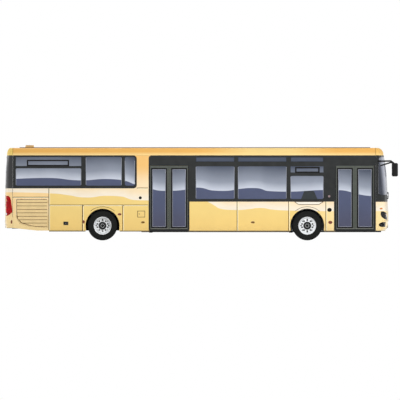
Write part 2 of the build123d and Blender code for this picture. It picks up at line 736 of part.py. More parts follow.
with BuildPart() as floor_rear:
    for k in range(3):
        top = LOW_FLOOR_Z + STEP_RISE * (k + 1)
        x1 = STEP_X - STEP_RUN * k
        x0 = x1 - STEP_RUN - 1 if k < 2 else rear(290)
        add(block((x0, -INNER, top - FLOOR_T), (x1, INNER, top)))
        add(block((x1 - FLOOR_T, -INNER, top - STEP_RISE - FLOOR_T), (x1, INNER, top)))
    cut_for_boxes()
save(floor_rear.part, "floor_rear")

with BuildPart() as wheel_boxes:
    for box_values in WHEEL_BOXES:
        box = wheel_box(*box_values)
        add(box)
        add(box.mirror(Plane.XZ))
    # tank box over the right front wheel box
    with BuildSketch(side_plane(-INNER)):
        with BuildLine():
            Polyline(
                (FRONT_AXLE_X - 247, 1100),
                (FRONT_AXLE_X - 247, 1374),
                (FRONT_AXLE_X - 128, 1748),
                (FRONT_AXLE_X + 195, 1748),
                (FRONT_AXLE_X + 331, 1374),
                (FRONT_AXLE_X + 331, 1100),
                (FRONT_AXLE_X - 247, 1100),
            )
        make_face()
    extrude(amount=-420)
    with BuildSketch(side_plane(-INNER - 10)):
        with Locations((FRONT_AXLE_X, TYRE_RADIUS)):
            corner_radius_here = STEER_CLEARANCE / math.cos(math.radians(180 / BOX_SIDES))
            RegularPolygon(corner_radius_here, BOX_SIDES, rotation=180 / BOX_SIDES)
    extrude(amount=-500, mode=Mode.SUBTRACT)
save(wheel_boxes.part, "wheel_boxes")

with BuildPart() as driver_platform:
    add(block((front(1880), 300, LOW_FLOOR_Z), (front(480), 1190, LOW_FLOOR_Z + 180)))
    add(
        block((front(1855), 325, LOW_FLOOR_Z - 30), (front(505), 1165, LOW_FLOOR_Z + 155)),
        mode=Mode.SUBTRACT,
    )
save(driver_platform.part, "driver_platform")

RAIL_Y = 400
RAIL_W = 80
KICK_X = rear(4700)
LOW_RAIL_Z = (280, 338)
with BuildPart() as chassis_low:
    for y in (-RAIL_Y, RAIL_Y):
        add(
            block((KICK_X + 60, y - RAIL_W / 2, LOW_RAIL_Z[0]), (front(330), y + RAIL_W / 2, LOW_RAIL_Z[1]))
        )
    for x in (KICK_X + 110, rear(6400), rear(7800), rear(9200), front(1950), front(900)):
        add(block((x - 40, -1150, LOW_RAIL_Z[0] + 10), (x + 40, 1150, LOW_RAIL_Z[1])))
    # bearer of the bumper
    add(block((front(340), -560, LOW_RAIL_Z[0]), (front(250), 560, LOW_RAIL_Z[1])))
save(chassis_low.part, "chassis_low")

with BuildPart() as chassis_rear:
    for y in (-RAIL_Y, RAIL_Y):
        y0, y1 = y - RAIL_W / 2, y + RAIL_W / 2
        add(block((KICK_X - 60, y0, LOW_RAIL_Z[0]), (KICK_X + 60, y1, 500)))
        add(block((KICK_X - 700, y0, 440), (KICK_X + 60, y1, 500)))
        add(block((KICK_X - 760, y0, 440), (KICK_X - 660, y1, 833)))
        add(block((rear(120), y0, 733), (KICK_X - 660, y1, 833)))
    for x, reach in ((rear(420), 1000), (rear(1900), 1000), (rear(2700), 1000), (KICK_X - 730, 1150)):
        add(block((x - 40, -reach, 753), (x + 40, reach, 833)))
save(chassis_rear.part, "chassis_rear")

TOW_EYE = (-450, 430, 16)  # Y, Z, radius of the bore
TOW_EYE_X = (front(285), front(175))
with BuildPart() as tow_eye:
    add(block((TOW_EYE_X[0], TOW_EYE[0] - 50, LOW_RAIL_Z[1]), (front(250), TOW_EYE[0] + 50, 470)))
    add(rod(*[(x, TOW_EYE[0], TOW_EYE[1]) for x in TOW_EYE_X], 38, 8))
    with Locations(((TOW_EYE_X[0] + TOW_EYE_X[1]) / 2, TOW_EYE[0], TOW_EYE[1])):
        Cylinder(TOW_EYE[2], 200, rotation=(0, 90, 0), mode=Mode.SUBTRACT)
save(tow_eye.part, "tow_eye")

JACK_PAD = (120, 100, 18)  # length, width, height
JACK_STATIONS = (rear(4960), FRONT_AXLE_X - 560)
with BuildPart() as jack_pads:
    for x in JACK_STATIONS:
        with Locations((x, -RAIL_Y, 271), (x, RAIL_Y, 271)):
            Box(*JACK_PAD)
save(jack_pads.part, "jack_pads")

with BuildPart() as engine:
    add(block((rear(240), -520, 400), (rear(1650), 300, 725)))
save(engine.part, "engine")

# ---------------------------------------------------------------- wheels and axles
HUB_BORE = 47
HAND_HOLES = 8


TYRE_SIDES = 32
RIM_SIDES = 24
HUB_SIDES = 12
BEAD_SET_IN = 26  # the bead stands this far behind the sidewall
RIM_OUT = RIM_RADIUS - 2.5
RIM_IN = RIM_RADIUS - 16


def tyre_ring():
    """A tyre about the Y axis, its middle plane at y = 0."""
    half = TYRE_WIDTH / 2
    carcass = many_sided(
        [
            (-half, TYRE_RADIUS - 34),
            (34 - half, TYRE_RADIUS),
            (half - 34, TYRE_RADIUS),
            (half, TYRE_RADIUS - 34),
        ],
        TYRE_SIDES,
    )
    bore = many_sided([(-half - 1, RIM_RADIUS), (half + 1, RIM_RADIUS)], TYRE_SIDES)
    side = many_sided([(half - BEAD_SET_IN, RIM_RADIUS - 1), (half + 1, RIM_RADIUS + 92)], TYRE_SIDES)
    return about_y(carcass - bore - side - side.mirror(Plane.XY))


def barrel(low, high):
    """Plain rim barrel about the Z axis, between two heights."""
    outside = many_sided([(low, RIM_OUT), (high, RIM_OUT)], RIM_SIDES)
    return outside - many_sided([(low - 1, RIM_IN), (high + 1, RIM_IN)], RIM_SIDES)


def rim_ring(disc_y, hub_reach):
    """Steel wheel about the Y axis, facing +Y: barrel, raised disc with hand holes, hub, cap."""
    half = TYRE_WIDTH / 2 - 14
    outside = many_sided([(-half, RIM_OUT), (half, RIM_OUT)], RIM_SIDES)
    trough = many_sided([(disc_y - 20, RIM_IN), (half + 1, RIM_IN)], RIM_SIDES)
    raised = many_sided([(disc_y - 21, 272), (disc_y + 14, 244)], RIM_SIDES)
    behind = many_sided([(-half - 1, RIM_IN), (disc_y - 34, RIM_IN)], RIM_SIDES)
    wheel = outside - (trough - raised) - behind
    hole = many_sided([(disc_y - 60, 28), (disc_y + 60, 28)], 6)
    for k in range(HAND_HOLES):
        angle = 360 * k / HAND_HOLES
        wheel = wheel - Rot(0, 0, angle) * Pos(210, 0, 0) * hole
    hub = many_sided([(disc_y - hub_reach, 126), (disc_y + 40, 126)], HUB_SIDES)
    cap = many_sided([(disc_y + 39, 74), (disc_y + 72, 62)], HUB_SIDES)
    spindle_bore = many_sided([(disc_y - hub_reach - 1, HUB_BORE), (disc_y + 10, HUB_BORE)], HUB_SIDES)
    return about_y(wheel + hub + cap - spindle_bore)


FRONT_DISC_Y = 66
REAR_DISC_Y = 26
tyre = tyre_ring()
front_rim = rim_ring(FRONT_DISC_Y, 90)
rear_outer = rim_ring(REAR_DISC_Y - 60, 60)
TWIN_OFFSET = (TYRE_WIDTH + TWIN_GAP) / 2
RIM_HALF = TYRE_WIDTH / 2 - 14
rear_inner = about_y(barrel(-RIM_HALF, 2 * TWIN_OFFSET - RIM_HALF))  # out to the outer wheel
DISC_BRAKE = (205, 24, 30)  # radius, thickness, inboard of the wheel plane

for side, name in ((-1, "right"), (1, "left")):
    # steered wheel
    y = side * FRONT_TRACK_HALF
    front_wheel = front_rim if side > 0 else front_rim.mirror(Plane.XZ)
    place = Location((FRONT_AXLE_X, y, TYRE_RADIUS))
    brake_back = FRONT_DISC_Y - 90 - DISC_BRAKE[1]
    brake = many_sided([(brake_back, DISC_BRAKE[0]), (FRONT_DISC_Y - 90, DISC_BRAKE[0])], RIM_SIDES)
    brake = brake - many_sided([(brake_back - 1, HUB_BORE), (FRONT_DISC_Y - 89, HUB_BORE)], HUB_SIDES)
    brake = about_y(brake) if side > 0 else about_y(brake).mirror(Plane.XZ)
    with BuildPart() as wheel:
        add(front_wheel)
        add(brake)
    save(wheel.part.moved(place), f"front_wheel_{name}")
    save(tyre.moved(place), f"front_tyre_{name}")
    # twin wheels
    outer = Location((REAR_AXLE_X, side * (REAR_TWIN_HALF + TWIN_OFFSET), TYRE_RADIUS))
    inner = Location((REAR_AXLE_X, side * (REAR_TWIN_HALF - TWIN_OFFSET), TYRE_RADIUS))
    with BuildPart() as twins:
        shape = rear_outer if side > 0 else rear_outer.mirror(Plane.XZ)
        add(shape.moved(outer))
        inner_shape = rear_inner if side > 0 else rear_inner.mirror(Plane.XZ)
        add(inner_shape.moved(inner))
    save(twins.part, f"rear_wheels_{name}")
    with BuildPart() as pair:
        add(tyre.moved(outer))
        add(tyre.moved(inner))
    save(pair.part, f"rear_tyres_{name}")


SPINDLE_R = 42
KINGPIN_R = 20
EYE_R = 44
with BuildPart() as front_axle:
    add(block((FRONT_AXLE_X - 55, -840, 205), (FRONT_AXLE_X + 55, 840, 270)))
    for side in (-1, 1):
        y0, y1 = sorted((side * 784, side * 848))
        add(block((FRONT_AXLE_X - 40, y0, 205), (FRONT_AXLE_X + 40, y1, 604)))
        for z0 in (394, 566):
            y0, y1 = sorted((side * 840, side * KINGPIN_HALF))
            add(block((FRONT_AXLE_X - 38, y0, z0), (FRONT_AXLE_X + 38, y1, z0 + 38)))
            with Locations((FRONT_AXLE_X, side * KINGPIN_HALF, z0 + 19)):
                add(many_sided([(-19, EYE_R), (19, EYE_R)], HUB_SIDES))
                add(many_sided([(-30, KINGPIN_R + 2), (30, KINGPIN_R + 2)], HUB_SIDES), mode=Mode.SUBTRACT)
    # the beam's seats under the chassis rails
    for side in (-1, 1):
        y = side * RAIL_Y
        add(block((FRONT_AXLE_X - 70, y - 45, 260), (FRONT_AXLE_X + 70, y + 45, 280)))
save(front_axle.part, "front_axle")

for side, name in ((-1, "right"), (1, "left")):
    y = side * KINGPIN_HALF
    with BuildPart() as knuckle:
        for reach, radius in ((58, 48), (118, KINGPIN_R)):
            pin = many_sided([(-reach, radius), (reach, radius)], HUB_SIDES)
            add(pin.moved(Location((FRONT_AXLE_X, y, TYRE_RADIUS))))
        spindle_end = (FRONT_AXLE_X, side * (FRONT_TRACK_HALF + 60), TYRE_RADIUS)
        add(rod((FRONT_AXLE_X, y, TYRE_RADIUS), spindle_end, SPINDLE_R, HUB_SIDES))
        # brake caliper over the disc's rear edge
        y0, y1 = sorted((side * (FRONT_TRACK_HALF - 66), side * (FRONT_TRACK_HALF + 4)))
        add(block((FRONT_AXLE_X - 262, y0, TYRE_RADIUS - 70), (FRONT_AXLE_X - 150, y1, TYRE_RADIUS + 70)))
        z0, z1 = TYRE_RADIUS - 76, TYRE_RADIUS + 76
        s0, s1 = sorted((side * (FRONT_TRACK_HALF - 57), side * (FRONT_TRACK_HALF - 17)))
        add(block((FRONT_AXLE_X - 214, s0, z0), (FRONT_AXLE_X - 100, s1, z1)), mode=Mode.SUBTRACT)
        # arm that carries the caliper
        y0, y1 = sorted((y, side * (FRONT_TRACK_HALF - 57)))
        add(block((FRONT_AXLE_X - 240, y0, TYRE_RADIUS - 30), (FRONT_AXLE_X, y1, TYRE_RADIUS + 30)))
    save(knuckle.part, f"front_knuckle_{name}")


with BuildPart() as rear_axle:
    casing = many_sided([(-160, 90), (-80, 172), (80, 172), (160, 90)], HUB_SIDES)
    add(about_y(casing).moved(Location((REAR_AXLE_X, 0, TYRE_RADIUS))))
    for reach, radius in ((690, 72), (1045, 40)):
        ends = [(REAR_AXLE_X, y, TYRE_RADIUS) for y in (-reach, reach)]
        add(rod(*ends, radius, HUB_SIDES))
    for side in (-1, 1):
        with Locations((REAR_AXLE_X, side * RAIL_Y, 0)):
            # air spring on its seat
            add(many_sided([(579, 105), (731, 105)], HUB_SIDES))
            with Locations((0, 0, 560)):
                Box(130, 120, 80)
save(rear_axle.part, "rear_axle")

# ---------------------------------------------------------------- doors
LEAF_WIDTH = DOOR_WIDTH / 2 - LEAF_GAP - LEAF_MEET
LEAF_LOW_Z = DOOR_SILL_Z + LEAF_LIP_GAP
LEAF_HIGH_Z = DOOR_TOP_Z - LEAF_LIP_GAP
LEAF_GLASS = (75, 112, 449, 2455)  # jamb-side and meeting stile widths, glass sill and head
LEAF_SKIN = 2  # the leaf's outer face behind the body's skin
ARM_HALF = 12
ARM_H = 12
ARM_GAP = 6  # arms pass under and over the leaf
LUG_H = 12
PIN_R = 6


def plan_point(along, inward):
    """World place, seen from above, of a point of a right-hand doorway whose jamb is at X = 0."""
    return (along, -HALF + inward)


def door_leaf():
    """Leaf, pane and arm of the door half whose jamb is at X = 0 and which opens towards +X."""
    x0, x1 = LEAF_GAP, LEAF_GAP + LEAF_WIDTH
    glass = (x0 + LEAF_GLASS[0], x1 - LEAF_GLASS[1], LEAF_GLASS[2], LEAF_GLASS[3])
    middle = ((glass[0] + glass[1]) / 2, (glass[2] + glass[3]) / 2)
    size = (glass[1] - glass[0], glass[3] - glass[2])
    pin = plan_point(PIN_ALONG, PIN_INSET)
    post = plan_point(-POST_BEHIND_JAMB, POST_INSET)
    with BuildPart() as leaf:
        with BuildSketch(side_plane(-HALF + LEAF_SKIN)):
            rectangle(x0, x1, LEAF_LOW_Z, LEAF_HIGH_Z)
            with Locations(middle):
                soft_rectangle(*size, 52, Mode.SUBTRACT)
        extrude(amount=-LEAF_T)
        # the pane sits behind the leaf's lip
        with BuildSketch(side_plane(-HALF + LEAF_SKIN + PANE_SET_BACK)):
            with Locations(middle):
                Rectangle(size[0] + 2 * PANE_LAP + 2, size[1] + 2 * PANE_LAP + 2)
        extrude(amount=-LEAF_T, mode=Mode.SUBTRACT)
        # lugs with the pins that turn in the arms
        for low_z, pin_low_z in (
            (LEAF_LOW_Z, LEAF_LOW_Z - ARM_GAP - ARM_H),
            (LEAF_HIGH_Z - LUG_H, LEAF_HIGH_Z - 2),
        ):
            lug_back = -HALF + LEAF_SKIN + LEAF_T - 1
            add(
                block((PIN_ALONG - 14, lug_back, low_z), (PIN_ALONG + 14, -HALF + PIN_INSET, low_z + LUG_H))
            )
            add(rod((*pin, low_z), (*pin, low_z + LUG_H), 14, 12))
            pin_high_z = pin_low_z + ARM_GAP + ARM_H + 2
            add(rod((*pin, pin_low_z), (*pin, pin_high_z), PIN_R))
    with BuildPart() as pane:
        with BuildSketch(side_plane(-HALF + LEAF_SKIN + PANE_SET_BACK)):
            with Locations(middle):
                Rectangle(size[0] + 2 * PANE_LAP, size[1] + 2 * PANE_LAP)
        extrude(amount=-PANE_T)
    with BuildPart() as arm:
        add(rod((*post, LOW_FLOOR_Z + 3), (*post, HEADER_Z - 3), POST_RADIUS, 12))
        for level in (LEAF_LOW_Z - ARM_GAP - ARM_H, LEAF_HIGH_Z + ARM_GAP):
            with BuildSketch(Plane.XY.offset(level)):
                with BuildLine() as path:
                    Line(post, pin)
                trace(path.line, line_width=2 * ARM_HALF)
                with Locations(pin):
                    RegularPolygon(ARM_HALF + 3, 8)
            extrude(amount=ARM_H)
            hole = rod((*pin, level - 5), (*pin, level + ARM_H + 5), PIN_R + 1.5)
            add(hole, mode=Mode.SUBTRACT)
    return leaf.part, pane.part, arm.part


HEADER_Z = 2600
DOOR_PIECES = door_leaf()
# doorway, jambs: X and the way the leaf points from it
JAMBS = [
    ("mid_rear", MID_DOOR_X0, 1),
    ("mid_fore", MID_DOOR_X1, -1),
    ("front_rear", FRONT_DOOR_X0, 1),
    ("front_fore", FRONT_DOOR_X1, -1),
]
for doorway, jamb_x, way in JAMBS:
    for piece, kind in zip(DOOR_PIECES, ("leaf", "glass", "arm")):
        shape = piece if way > 0 else piece.mirror(Plane.YZ)
        save(shape.moved(Location((jamb_x, 0, 0))), f"door_{doorway}_{kind}")

with BuildPart() as door_headers:
    for x0, x1 in DOORWAYS:
        add(block((x0 - 40, -INNER, HEADER_Z), (x1 + 40, -INNER + 190, HEADER_Z + 190)))
save(door_headers.part, "door_headers")

# ---------------------------------------------------------------- driver's place
DRIVER_Y = 720
DRIVER_FLOOR_Z = LOW_FLOOR_Z + 180
WHEEL_HUB = (front(760), DRIVER_Y, DRIVER_FLOOR_Z + 760)
WHEEL_TILT = 28  # steering axis from the vertical, leaning back to the driver
STEER_AXIS = Vector(-math.sin(math.radians(WHEEL_TILT)), 0, math.cos(math.radians(WHEEL_TILT)))
steer_plane = Plane(origin=WHEEL_HUB, z_dir=STEER_AXIS)

with BuildPart() as steering_wheel:
    rim = many_sided([(-13, 214), (0, 228), (13, 214)], 20)
    rim_inside = many_sided([(-14, 211), (0, 197), (14, 211)], 20)
    add(steer_plane.location * (rim - rim_inside))
    for k in range(3):
        spoke = Solid.make_box(215, 34, 10, Plane(origin=(0, -17, -14)))
        add(steer_plane.location * Rotation(0, 0, 90 + 120 * k) * spoke)
    add(steer_plane.location * many_sided([(-24, 52), (10, 52)], 12))
save(steering_wheel.part, "steering_wheel")

with BuildPart() as dashboard:
    # binnacle, its stand and the column
    with BuildSketch(side_plane(DRIVER_Y + 430)):
        with BuildLine():
            Polyline(
                (front(640), 1120),
                (front(600), 1250),
                (front(470), 1290),
                (front(300), 1240),
                (front(300), 1090),
                (front(420), 960),
                (front(420), LOW_FLOOR_Z + 182),
                (front(478), LOW_FLOOR_Z + 182),
                (front(500), 960),
                (front(640), 1120),
            )
        make_face()
    extrude(amount=860)
    # low shelf across to the doorway
    add(block((front(430), -760, 940), (front(300), 295, 1010)))
    add(block((front(330), -760, 366), (front(300), 295, 941)))
    add(steer_plane.location * many_sided([(-450, 30), (-30, 30)], 12))
save(dashboard.part.solids().sort_by(SortBy.VOLUME)[-1], "dashboard")

with BuildPart() as destination_display:
    with BuildSketch(Plane.XZ.offset(-820)):
        with BuildLine():
            Polyline(
                (front(560), 2600),
                (front(560), 2810),
                (front(330), 2810),
                (front(290), 2600),
                (front(560), 2600),
            )
        make_face()
    extrude(amount=1640)
save(destination_display.part, "destination_display")

SEAT_W = 430


def seat(x, y, z, width=SEAT_W, rise=400):
    """Moulded seat facing forward: cushion and back on one pedestal, the back's foot at x."""
    base = z + rise
    with BuildPart() as made:
        with BuildSketch(side_plane(y + width / 2)):
            with BuildLine():
                Polyline(
                    (x, base),
                    (x + 440, base + 20),
                    (x + 440, base + 70),
                    (x + 60, base + 50),
                    (x - 40, base + 640),
                    (x - 90, base + 640),
                    (x, base),
                )
            make_face()
        extrude(amount=width)
        add(block((x + 190, y - 40, z), (x + 250, y + 40, base + 12)))
    return made.part


REAR_BOX_TOP = TYRE_RADIUS + 610 + BOX_T
# seat rows: X of the backs' feet, side of the bus, level they stand on, distances from the centre
SEAT_ROWS = [
    (rear(560), -1, HIGH_FLOOR_Z, (990, 550)),
    (rear(560), 1, HIGH_FLOOR_Z, (990, 550)),
    (rear(1330), -1, HIGH_FLOOR_Z, (990, 550)),
    (rear(1330), 1, HIGH_FLOOR_Z, (990, 550)),
    (rear(2060), -1, HIGH_FLOOR_Z, (990, 550)),
    (rear(2060), 1, HIGH_FLOOR_Z, (990, 550)),
    (REAR_AXLE_X - 230, -1, REAR_BOX_TOP, (990,)),
    (REAR_AXLE_X - 230, 1, REAR_BOX_TOP, (990,)),
    (WINDOW_A_X0 + 120, -1, LOW_FLOOR_Z, (990, 550)),
    (WINDOW_A_X0 + 900, -1, LOW_FLOOR_Z, (990, 550)),
    (WINDOW_B_X0 + 260, -1, LOW_FLOOR_Z, (990, 550)),
    (WINDOW_B_X0 + 1030, -1, LOW_FLOOR_Z, (990, 550)),
    (WINDOW_A_X0 - 700, 1, LOW_FLOOR_Z, (990, 550)),
    (WINDOW_A_X0 + 120, 1, LOW_FLOOR_Z, (990, 550)),
    (WINDOW_A_X0 + 900, 1, LOW_FLOOR_Z, (990, 550)),
    (WINDOW_B_X0 + 260, 1, LOW_FLOOR_Z, (990, 550)),
    (WINDOW_B_X0 + 1030, 1, LOW_FLOOR_Z, (990, 550)),
]
with BuildPart() as seats:
    for x, side, z, lanes in SEAT_ROWS:
        middle = side * (lanes[0] + lanes[-1]) / 2
        width = lanes[0] - lanes[-1] + SEAT_W
        add(seat(x, middle, z, width, 2 if z == REAR_BOX_TOP else 400))
    # middle place of the back bench
    add(seat(rear(560), 0, HIGH_FLOOR_Z, 560))
save(seats.part, "seats")

with BuildPart() as driver_seat:
    add(seat(front(1480), DRIVER_Y, DRIVER_FLOOR_Z, 500))
save(driver_seat.part, "driver_seat")

# ---------------------------------------------------------------- poles, cab wall
POLE_R = 17
CEILING_Z = ROOF_HEIGHT - ROOF_T - 3
RAIL_Z = 2420
# poles: X, Y, foot level
POLES = [
    (rear(1250), -310, HIGH_FLOOR_Z),
    (rear(1250), 310, HIGH_FLOOR_Z),
    (rear(2640), -310, HIGH_FLOOR_Z),
    (rear(2640), 310, HIGH_FLOOR_Z),
    (rear(4150), -310, HIGH_FLOOR_Z),
    (rear(4150), 310, HIGH_FLOOR_Z),
    (MID_DOOR_X0 - 200, -700, LOW_FLOOR_Z + STEP_RISE),
    (MID_DOOR_X1 + 90, -700, LOW_FLOOR_Z),
    (MID_DOOR_X1 + 90, 700, LOW_FLOOR_Z),
    (WINDOW_A_X1, -310, LOW_FLOOR_Z),
    (WINDOW_A_X1, 310, LOW_FLOOR_Z),
    (WINDOW_B_X0 + 960, -310, LOW_FLOOR_Z),
    (WINDOW_B_X0 + 960, 310, LOW_FLOOR_Z),
    (FRONT_DOOR_X0 - 110, -700, LOW_FLOOR_Z),
]
with BuildPart() as handrails:
    for x, y, z in POLES:
        add(rod((x, y, z), (x, y, 2720), POLE_R))
    for y in (-310, 310):
        add(rod((rear(1250), y, RAIL_Z), (rear(9900), y, RAIL_Z), POLE_R))
save(handrails.part, "handrails")

with BuildPart() as cab_partition:
    add(block((front(1950), 250, LOW_FLOOR_Z), (front(1920), 1190, 2100)))
    add(block((front(1919), 250, LOW_FLOOR_Z), (front(900), 275, 1250)))
save(cab_partition.part, "cab_partition")

# ---------------------------------------------------------------- mirrors and wipers
# head: height of the section, how much it is drawn in
MIRROR_LEVELS = [(2173, 34), (2205, 0), (2600, 0), (2632, 34)]
MIRROR_HEAD = (210, 190, 55)  # length, width, corner
with BuildPart() as mirrors:
    for side in (-1, 1):
        rings = []
        for height, drawn_in in MIRROR_LEVELS:
            long, wide = [size / 2 - drawn_in for size in MIRROR_HEAD[:2]]
            cut = MIRROR_HEAD[2] - drawn_in
            quarter = [(long, wide - cut), (long - cut, wide)]
            around = quarter + [(-x, y) for x, y in quarter[::-1]]
            around += [(-x, -y) for x, y in around]
            rings.append([(NOSE_X + 219 + x, side * 1380 + y, height) for x, y in around])
        add(panelled(rings))
        for foot, knee_z in (
            ((front(420), side * 1240, 2690), 2700),
            ((front(290), side * 1195, 2535), 2650),
        ):
            knee = (NOSE_X + 80, side * 1350, knee_z)
            add(rod(foot, knee, 17))
            add(rod(knee, (NOSE_X + 190, side * 1360, 2610), 17))
            add(block((knee[0] - 17, knee[1] - 17, knee_z - 17), (knee[0] + 17, knee[1] + 17, knee_z + 17)))
    add(upper_outer, mode=Mode.SUBTRACT)
save(mirrors.part, "mirrors")
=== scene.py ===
"""City bus, dressed for rendering: finishes, wheels, glazing, lamps, trim and cabin details."""

import json
import math

import bmesh
import bpy
from mathutils import Matrix, Vector
from mathutils.bvhtree import BVHTree


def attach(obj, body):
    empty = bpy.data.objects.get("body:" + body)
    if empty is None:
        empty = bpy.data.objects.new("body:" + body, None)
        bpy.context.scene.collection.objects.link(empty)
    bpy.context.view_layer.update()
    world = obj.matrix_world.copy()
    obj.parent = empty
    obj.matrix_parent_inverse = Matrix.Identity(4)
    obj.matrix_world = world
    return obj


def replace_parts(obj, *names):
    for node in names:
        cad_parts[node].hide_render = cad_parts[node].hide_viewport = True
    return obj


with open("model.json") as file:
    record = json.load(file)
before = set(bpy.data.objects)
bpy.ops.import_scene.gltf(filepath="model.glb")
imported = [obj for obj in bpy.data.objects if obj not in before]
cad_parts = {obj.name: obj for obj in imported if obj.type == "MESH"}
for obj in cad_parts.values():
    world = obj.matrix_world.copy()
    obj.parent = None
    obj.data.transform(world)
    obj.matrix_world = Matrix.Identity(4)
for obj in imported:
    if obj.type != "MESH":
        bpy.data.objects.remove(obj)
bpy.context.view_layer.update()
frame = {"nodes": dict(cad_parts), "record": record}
nodes = frame["nodes"]

# ---------------- places, in metres
REAR_X = -6.6825
NOSE_X = 6.3575
HALF = 1.275
REAR_AXLE_X = REAR_X + 3.320
FRONT_AXLE_X = NOSE_X - 2.760
WHEEL_Z = 0.502
BODY = "bus_body"
# side, its name; the doors are on the right
SIDES = ((-1, "right"), (1, "left"))
AXLES = (("front", FRONT_AXLE_X), ("rear", REAR_AXLE_X))


def rear(distance):
    """X of a place this far ahead of the rear bumper."""
    return REAR_X + distance


def front(distance):
    """X of a place this far behind the nose."""
    return NOSE_X - distance


# heights: skirt's foot, waist line, black band's foot at the tail, low floor
SKIRT_Z = 0.336
WAIST_Z = 1.318
TAIL_BAND_Z = 1.766
LOW_FLOOR = 0.365
# doorways: middle, half width
MID_DOOR_X = rear(5.581)
FRONT_DOOR_X = front(1.140)
DOOR_HALF = 0.660
# panes between the doors
PILLAR = 0.122
WINDOW_A_X0 = MID_DOOR_X + 0.910
WINDOW_C_X0 = front(3.326)
WINDOW_B_X1 = WINDOW_C_X0 - 0.140
WINDOW_A_X1 = WINDOW_A_X0 + (WINDOW_B_X1 - WINDOW_A_X0 - PILLAR) * 0.443
WINDOW_B_X0 = WINDOW_A_X1 + PILLAR

# ---------------- curved panels
def soften(names, limit=24):
    """Shades the flats of curved panels as one surface, up to a crease of limit degrees."""
    closest = math.cos(math.radians(limit))
    for name in names:
        mesh = nodes[name].data
        places = [tuple(round(c, 4) for c in v.co) for v in mesh.vertices]
        around = {}
        for face in mesh.polygons:
            for v in face.vertices:
                around.setdefault(places[v], []).append((face.normal.copy(), face.area))
        normals = []
        for face in mesh.polygons:
            face.use_smooth = True
            for v in face.vertices:
                total = Vector((0, 0, 0))
                for normal, area in around[places[v]]:
                    if normal.dot(face.normal) > closest:
                        total += normal * area
                normals.append(total.normalized())
        mesh.normals_split_custom_set(normals)


CURVED = ["roof", "front_mask", "rear_mask", "windscreen", "nose_frame", "tail_frame", "headlamps"]
CURVED += ["tail_lamps", "engine_lid", "handrails", "mirrors", "front_axle", "rear_axle"]
CURVED += [name for name in nodes if "wheel" in name or "knuckle" in name or name.endswith("_arm")]
soften(CURVED)

# ---------------- finishes
def linear(r, g, b):
    """Scene-linear colour from 0 to 255 display values."""
    out = []
    for value in (r, g, b):
        c = value / 255
        out.append(c / 12.92 if c <= 0.04045 else ((c + 0.055) / 1.055) ** 2.4)
    return (*out, 1)


class Shade:
    """Small builder for one material's node graph."""

    def __init__(self, name, **fixed):
        self.mat = bpy.data.materials.new(name)
        self.mat.use_nodes = True
        self.tree = self.mat.node_tree
        self.bsdf = self.tree.nodes["Principled BSDF"]
        for key, value in fixed.items():
            self.bsdf.inputs[key.replace("_", " ")].default_value = value
        self.coord = self.node("ShaderNodeTexCoord").outputs["Object"]
        split = self.node("ShaderNodeSeparateXYZ")
        self.link(self.coord, split.inputs[0])
        self.place = split.outputs

    def node(self, kind, **settings):
        made = self.tree.nodes.new(kind)
        for key, value in settings.items():
            setattr(made, key, value)
        return made

    def link(self, a, b):
        self.tree.links.new(a, b)

    def feed(self, socket, value):
        """Sets a socket, or links it to another."""
        if isinstance(value, (int, float, tuple)):
            socket.default_value = value
        else:
            self.link(value, socket)

    def math(self, operation, a, b=0.0):
        made = self.node("ShaderNodeMath", operation=operation)
        self.feed(made.inputs[0], a)
        self.feed(made.inputs[1], b)
        return made.outputs[0]

    def noise(self, scale, detail=3.0):
        made = self.node("ShaderNodeTexNoise")
        made.inputs["Scale"].default_value = scale
        made.inputs["Detail"].default_value = detail
        self.link(self.coord, made.inputs["Vector"])
        return made.outputs[0]

    def ramp(self, value, stops):
        made = self.node("ShaderNodeValToRGB")
        elements = made.color_ramp.elements
        elements.remove(elements[-1])
        elements[0].position, elements[0].color = stops[0]
        for position, colour in stops[1:]:
            elements.new(position).color = colour
        self.link(value, made.inputs[0])
        return made.outputs[0]

    def mix(self, share, a, b):
        made = self.node("ShaderNodeMix", data_type="RGBA")
        for k, value in ((0, share), (6, a), (7, b)):
            self.feed(made.inputs[k], value)
        return made.outputs[2]

    def remap(self, value, low, high, to_low=0.0, to_high=1.0, smooth=False):
        made = self.node("ShaderNodeMapRange", interpolation_type="SMOOTHSTEP" if smooth else "LINEAR")
        self.link(value, made.inputs[0])
        for socket, number in zip(made.inputs[1:5], (low, high, to_low, to_high)):
            socket.default_value = number
        return made.outputs[0]

    def curve_of_x(self, points):
        """Height of a drawn line over X, through points in metres, as a socket."""
        x0, x1 = points[0][0], points[-1][0]
        z0 = min(z for _, z in points) - 0.01
        z1 = max(z for _, z in points) + 0.01
        made = self.node("ShaderNodeFloatCurve")
        curve = made.mapping.curves[0]
        spots = [((x - x0) / (x1 - x0), (z - z0) / (z1 - z0)) for x, z in points]
        curve.points[0].location = spots[0]
        curve.points[1].location = spots[-1]
        for spot in spots[1:-1]:
            curve.points.new(*spot)
        made.mapping.update()
        self.link(self.remap(self.place[0], x0, x1), made.inputs["Value"])
        return self.remap(made.outputs[0], 0, 1, z0, z1)

    def bump(self, scale, strength, distance=0.002):
        made = self.node("ShaderNodeBump")
        made.inputs["Strength"].default_value = strength
        made.inputs["Distance"].default_value = distance
        self.link(self.noise(scale, 2), made.inputs["Height"])
        self.link(made.outputs[0], self.bsdf.inputs["Normal"])

    def colour(self, socket):
        self.link(socket, self.bsdf.inputs["Base Color"])

    def rough(self, value, low, high):
        self.link(self.remap(value, 0.3, 0.7, low, high), self.bsdf.inputs["Roughness"])


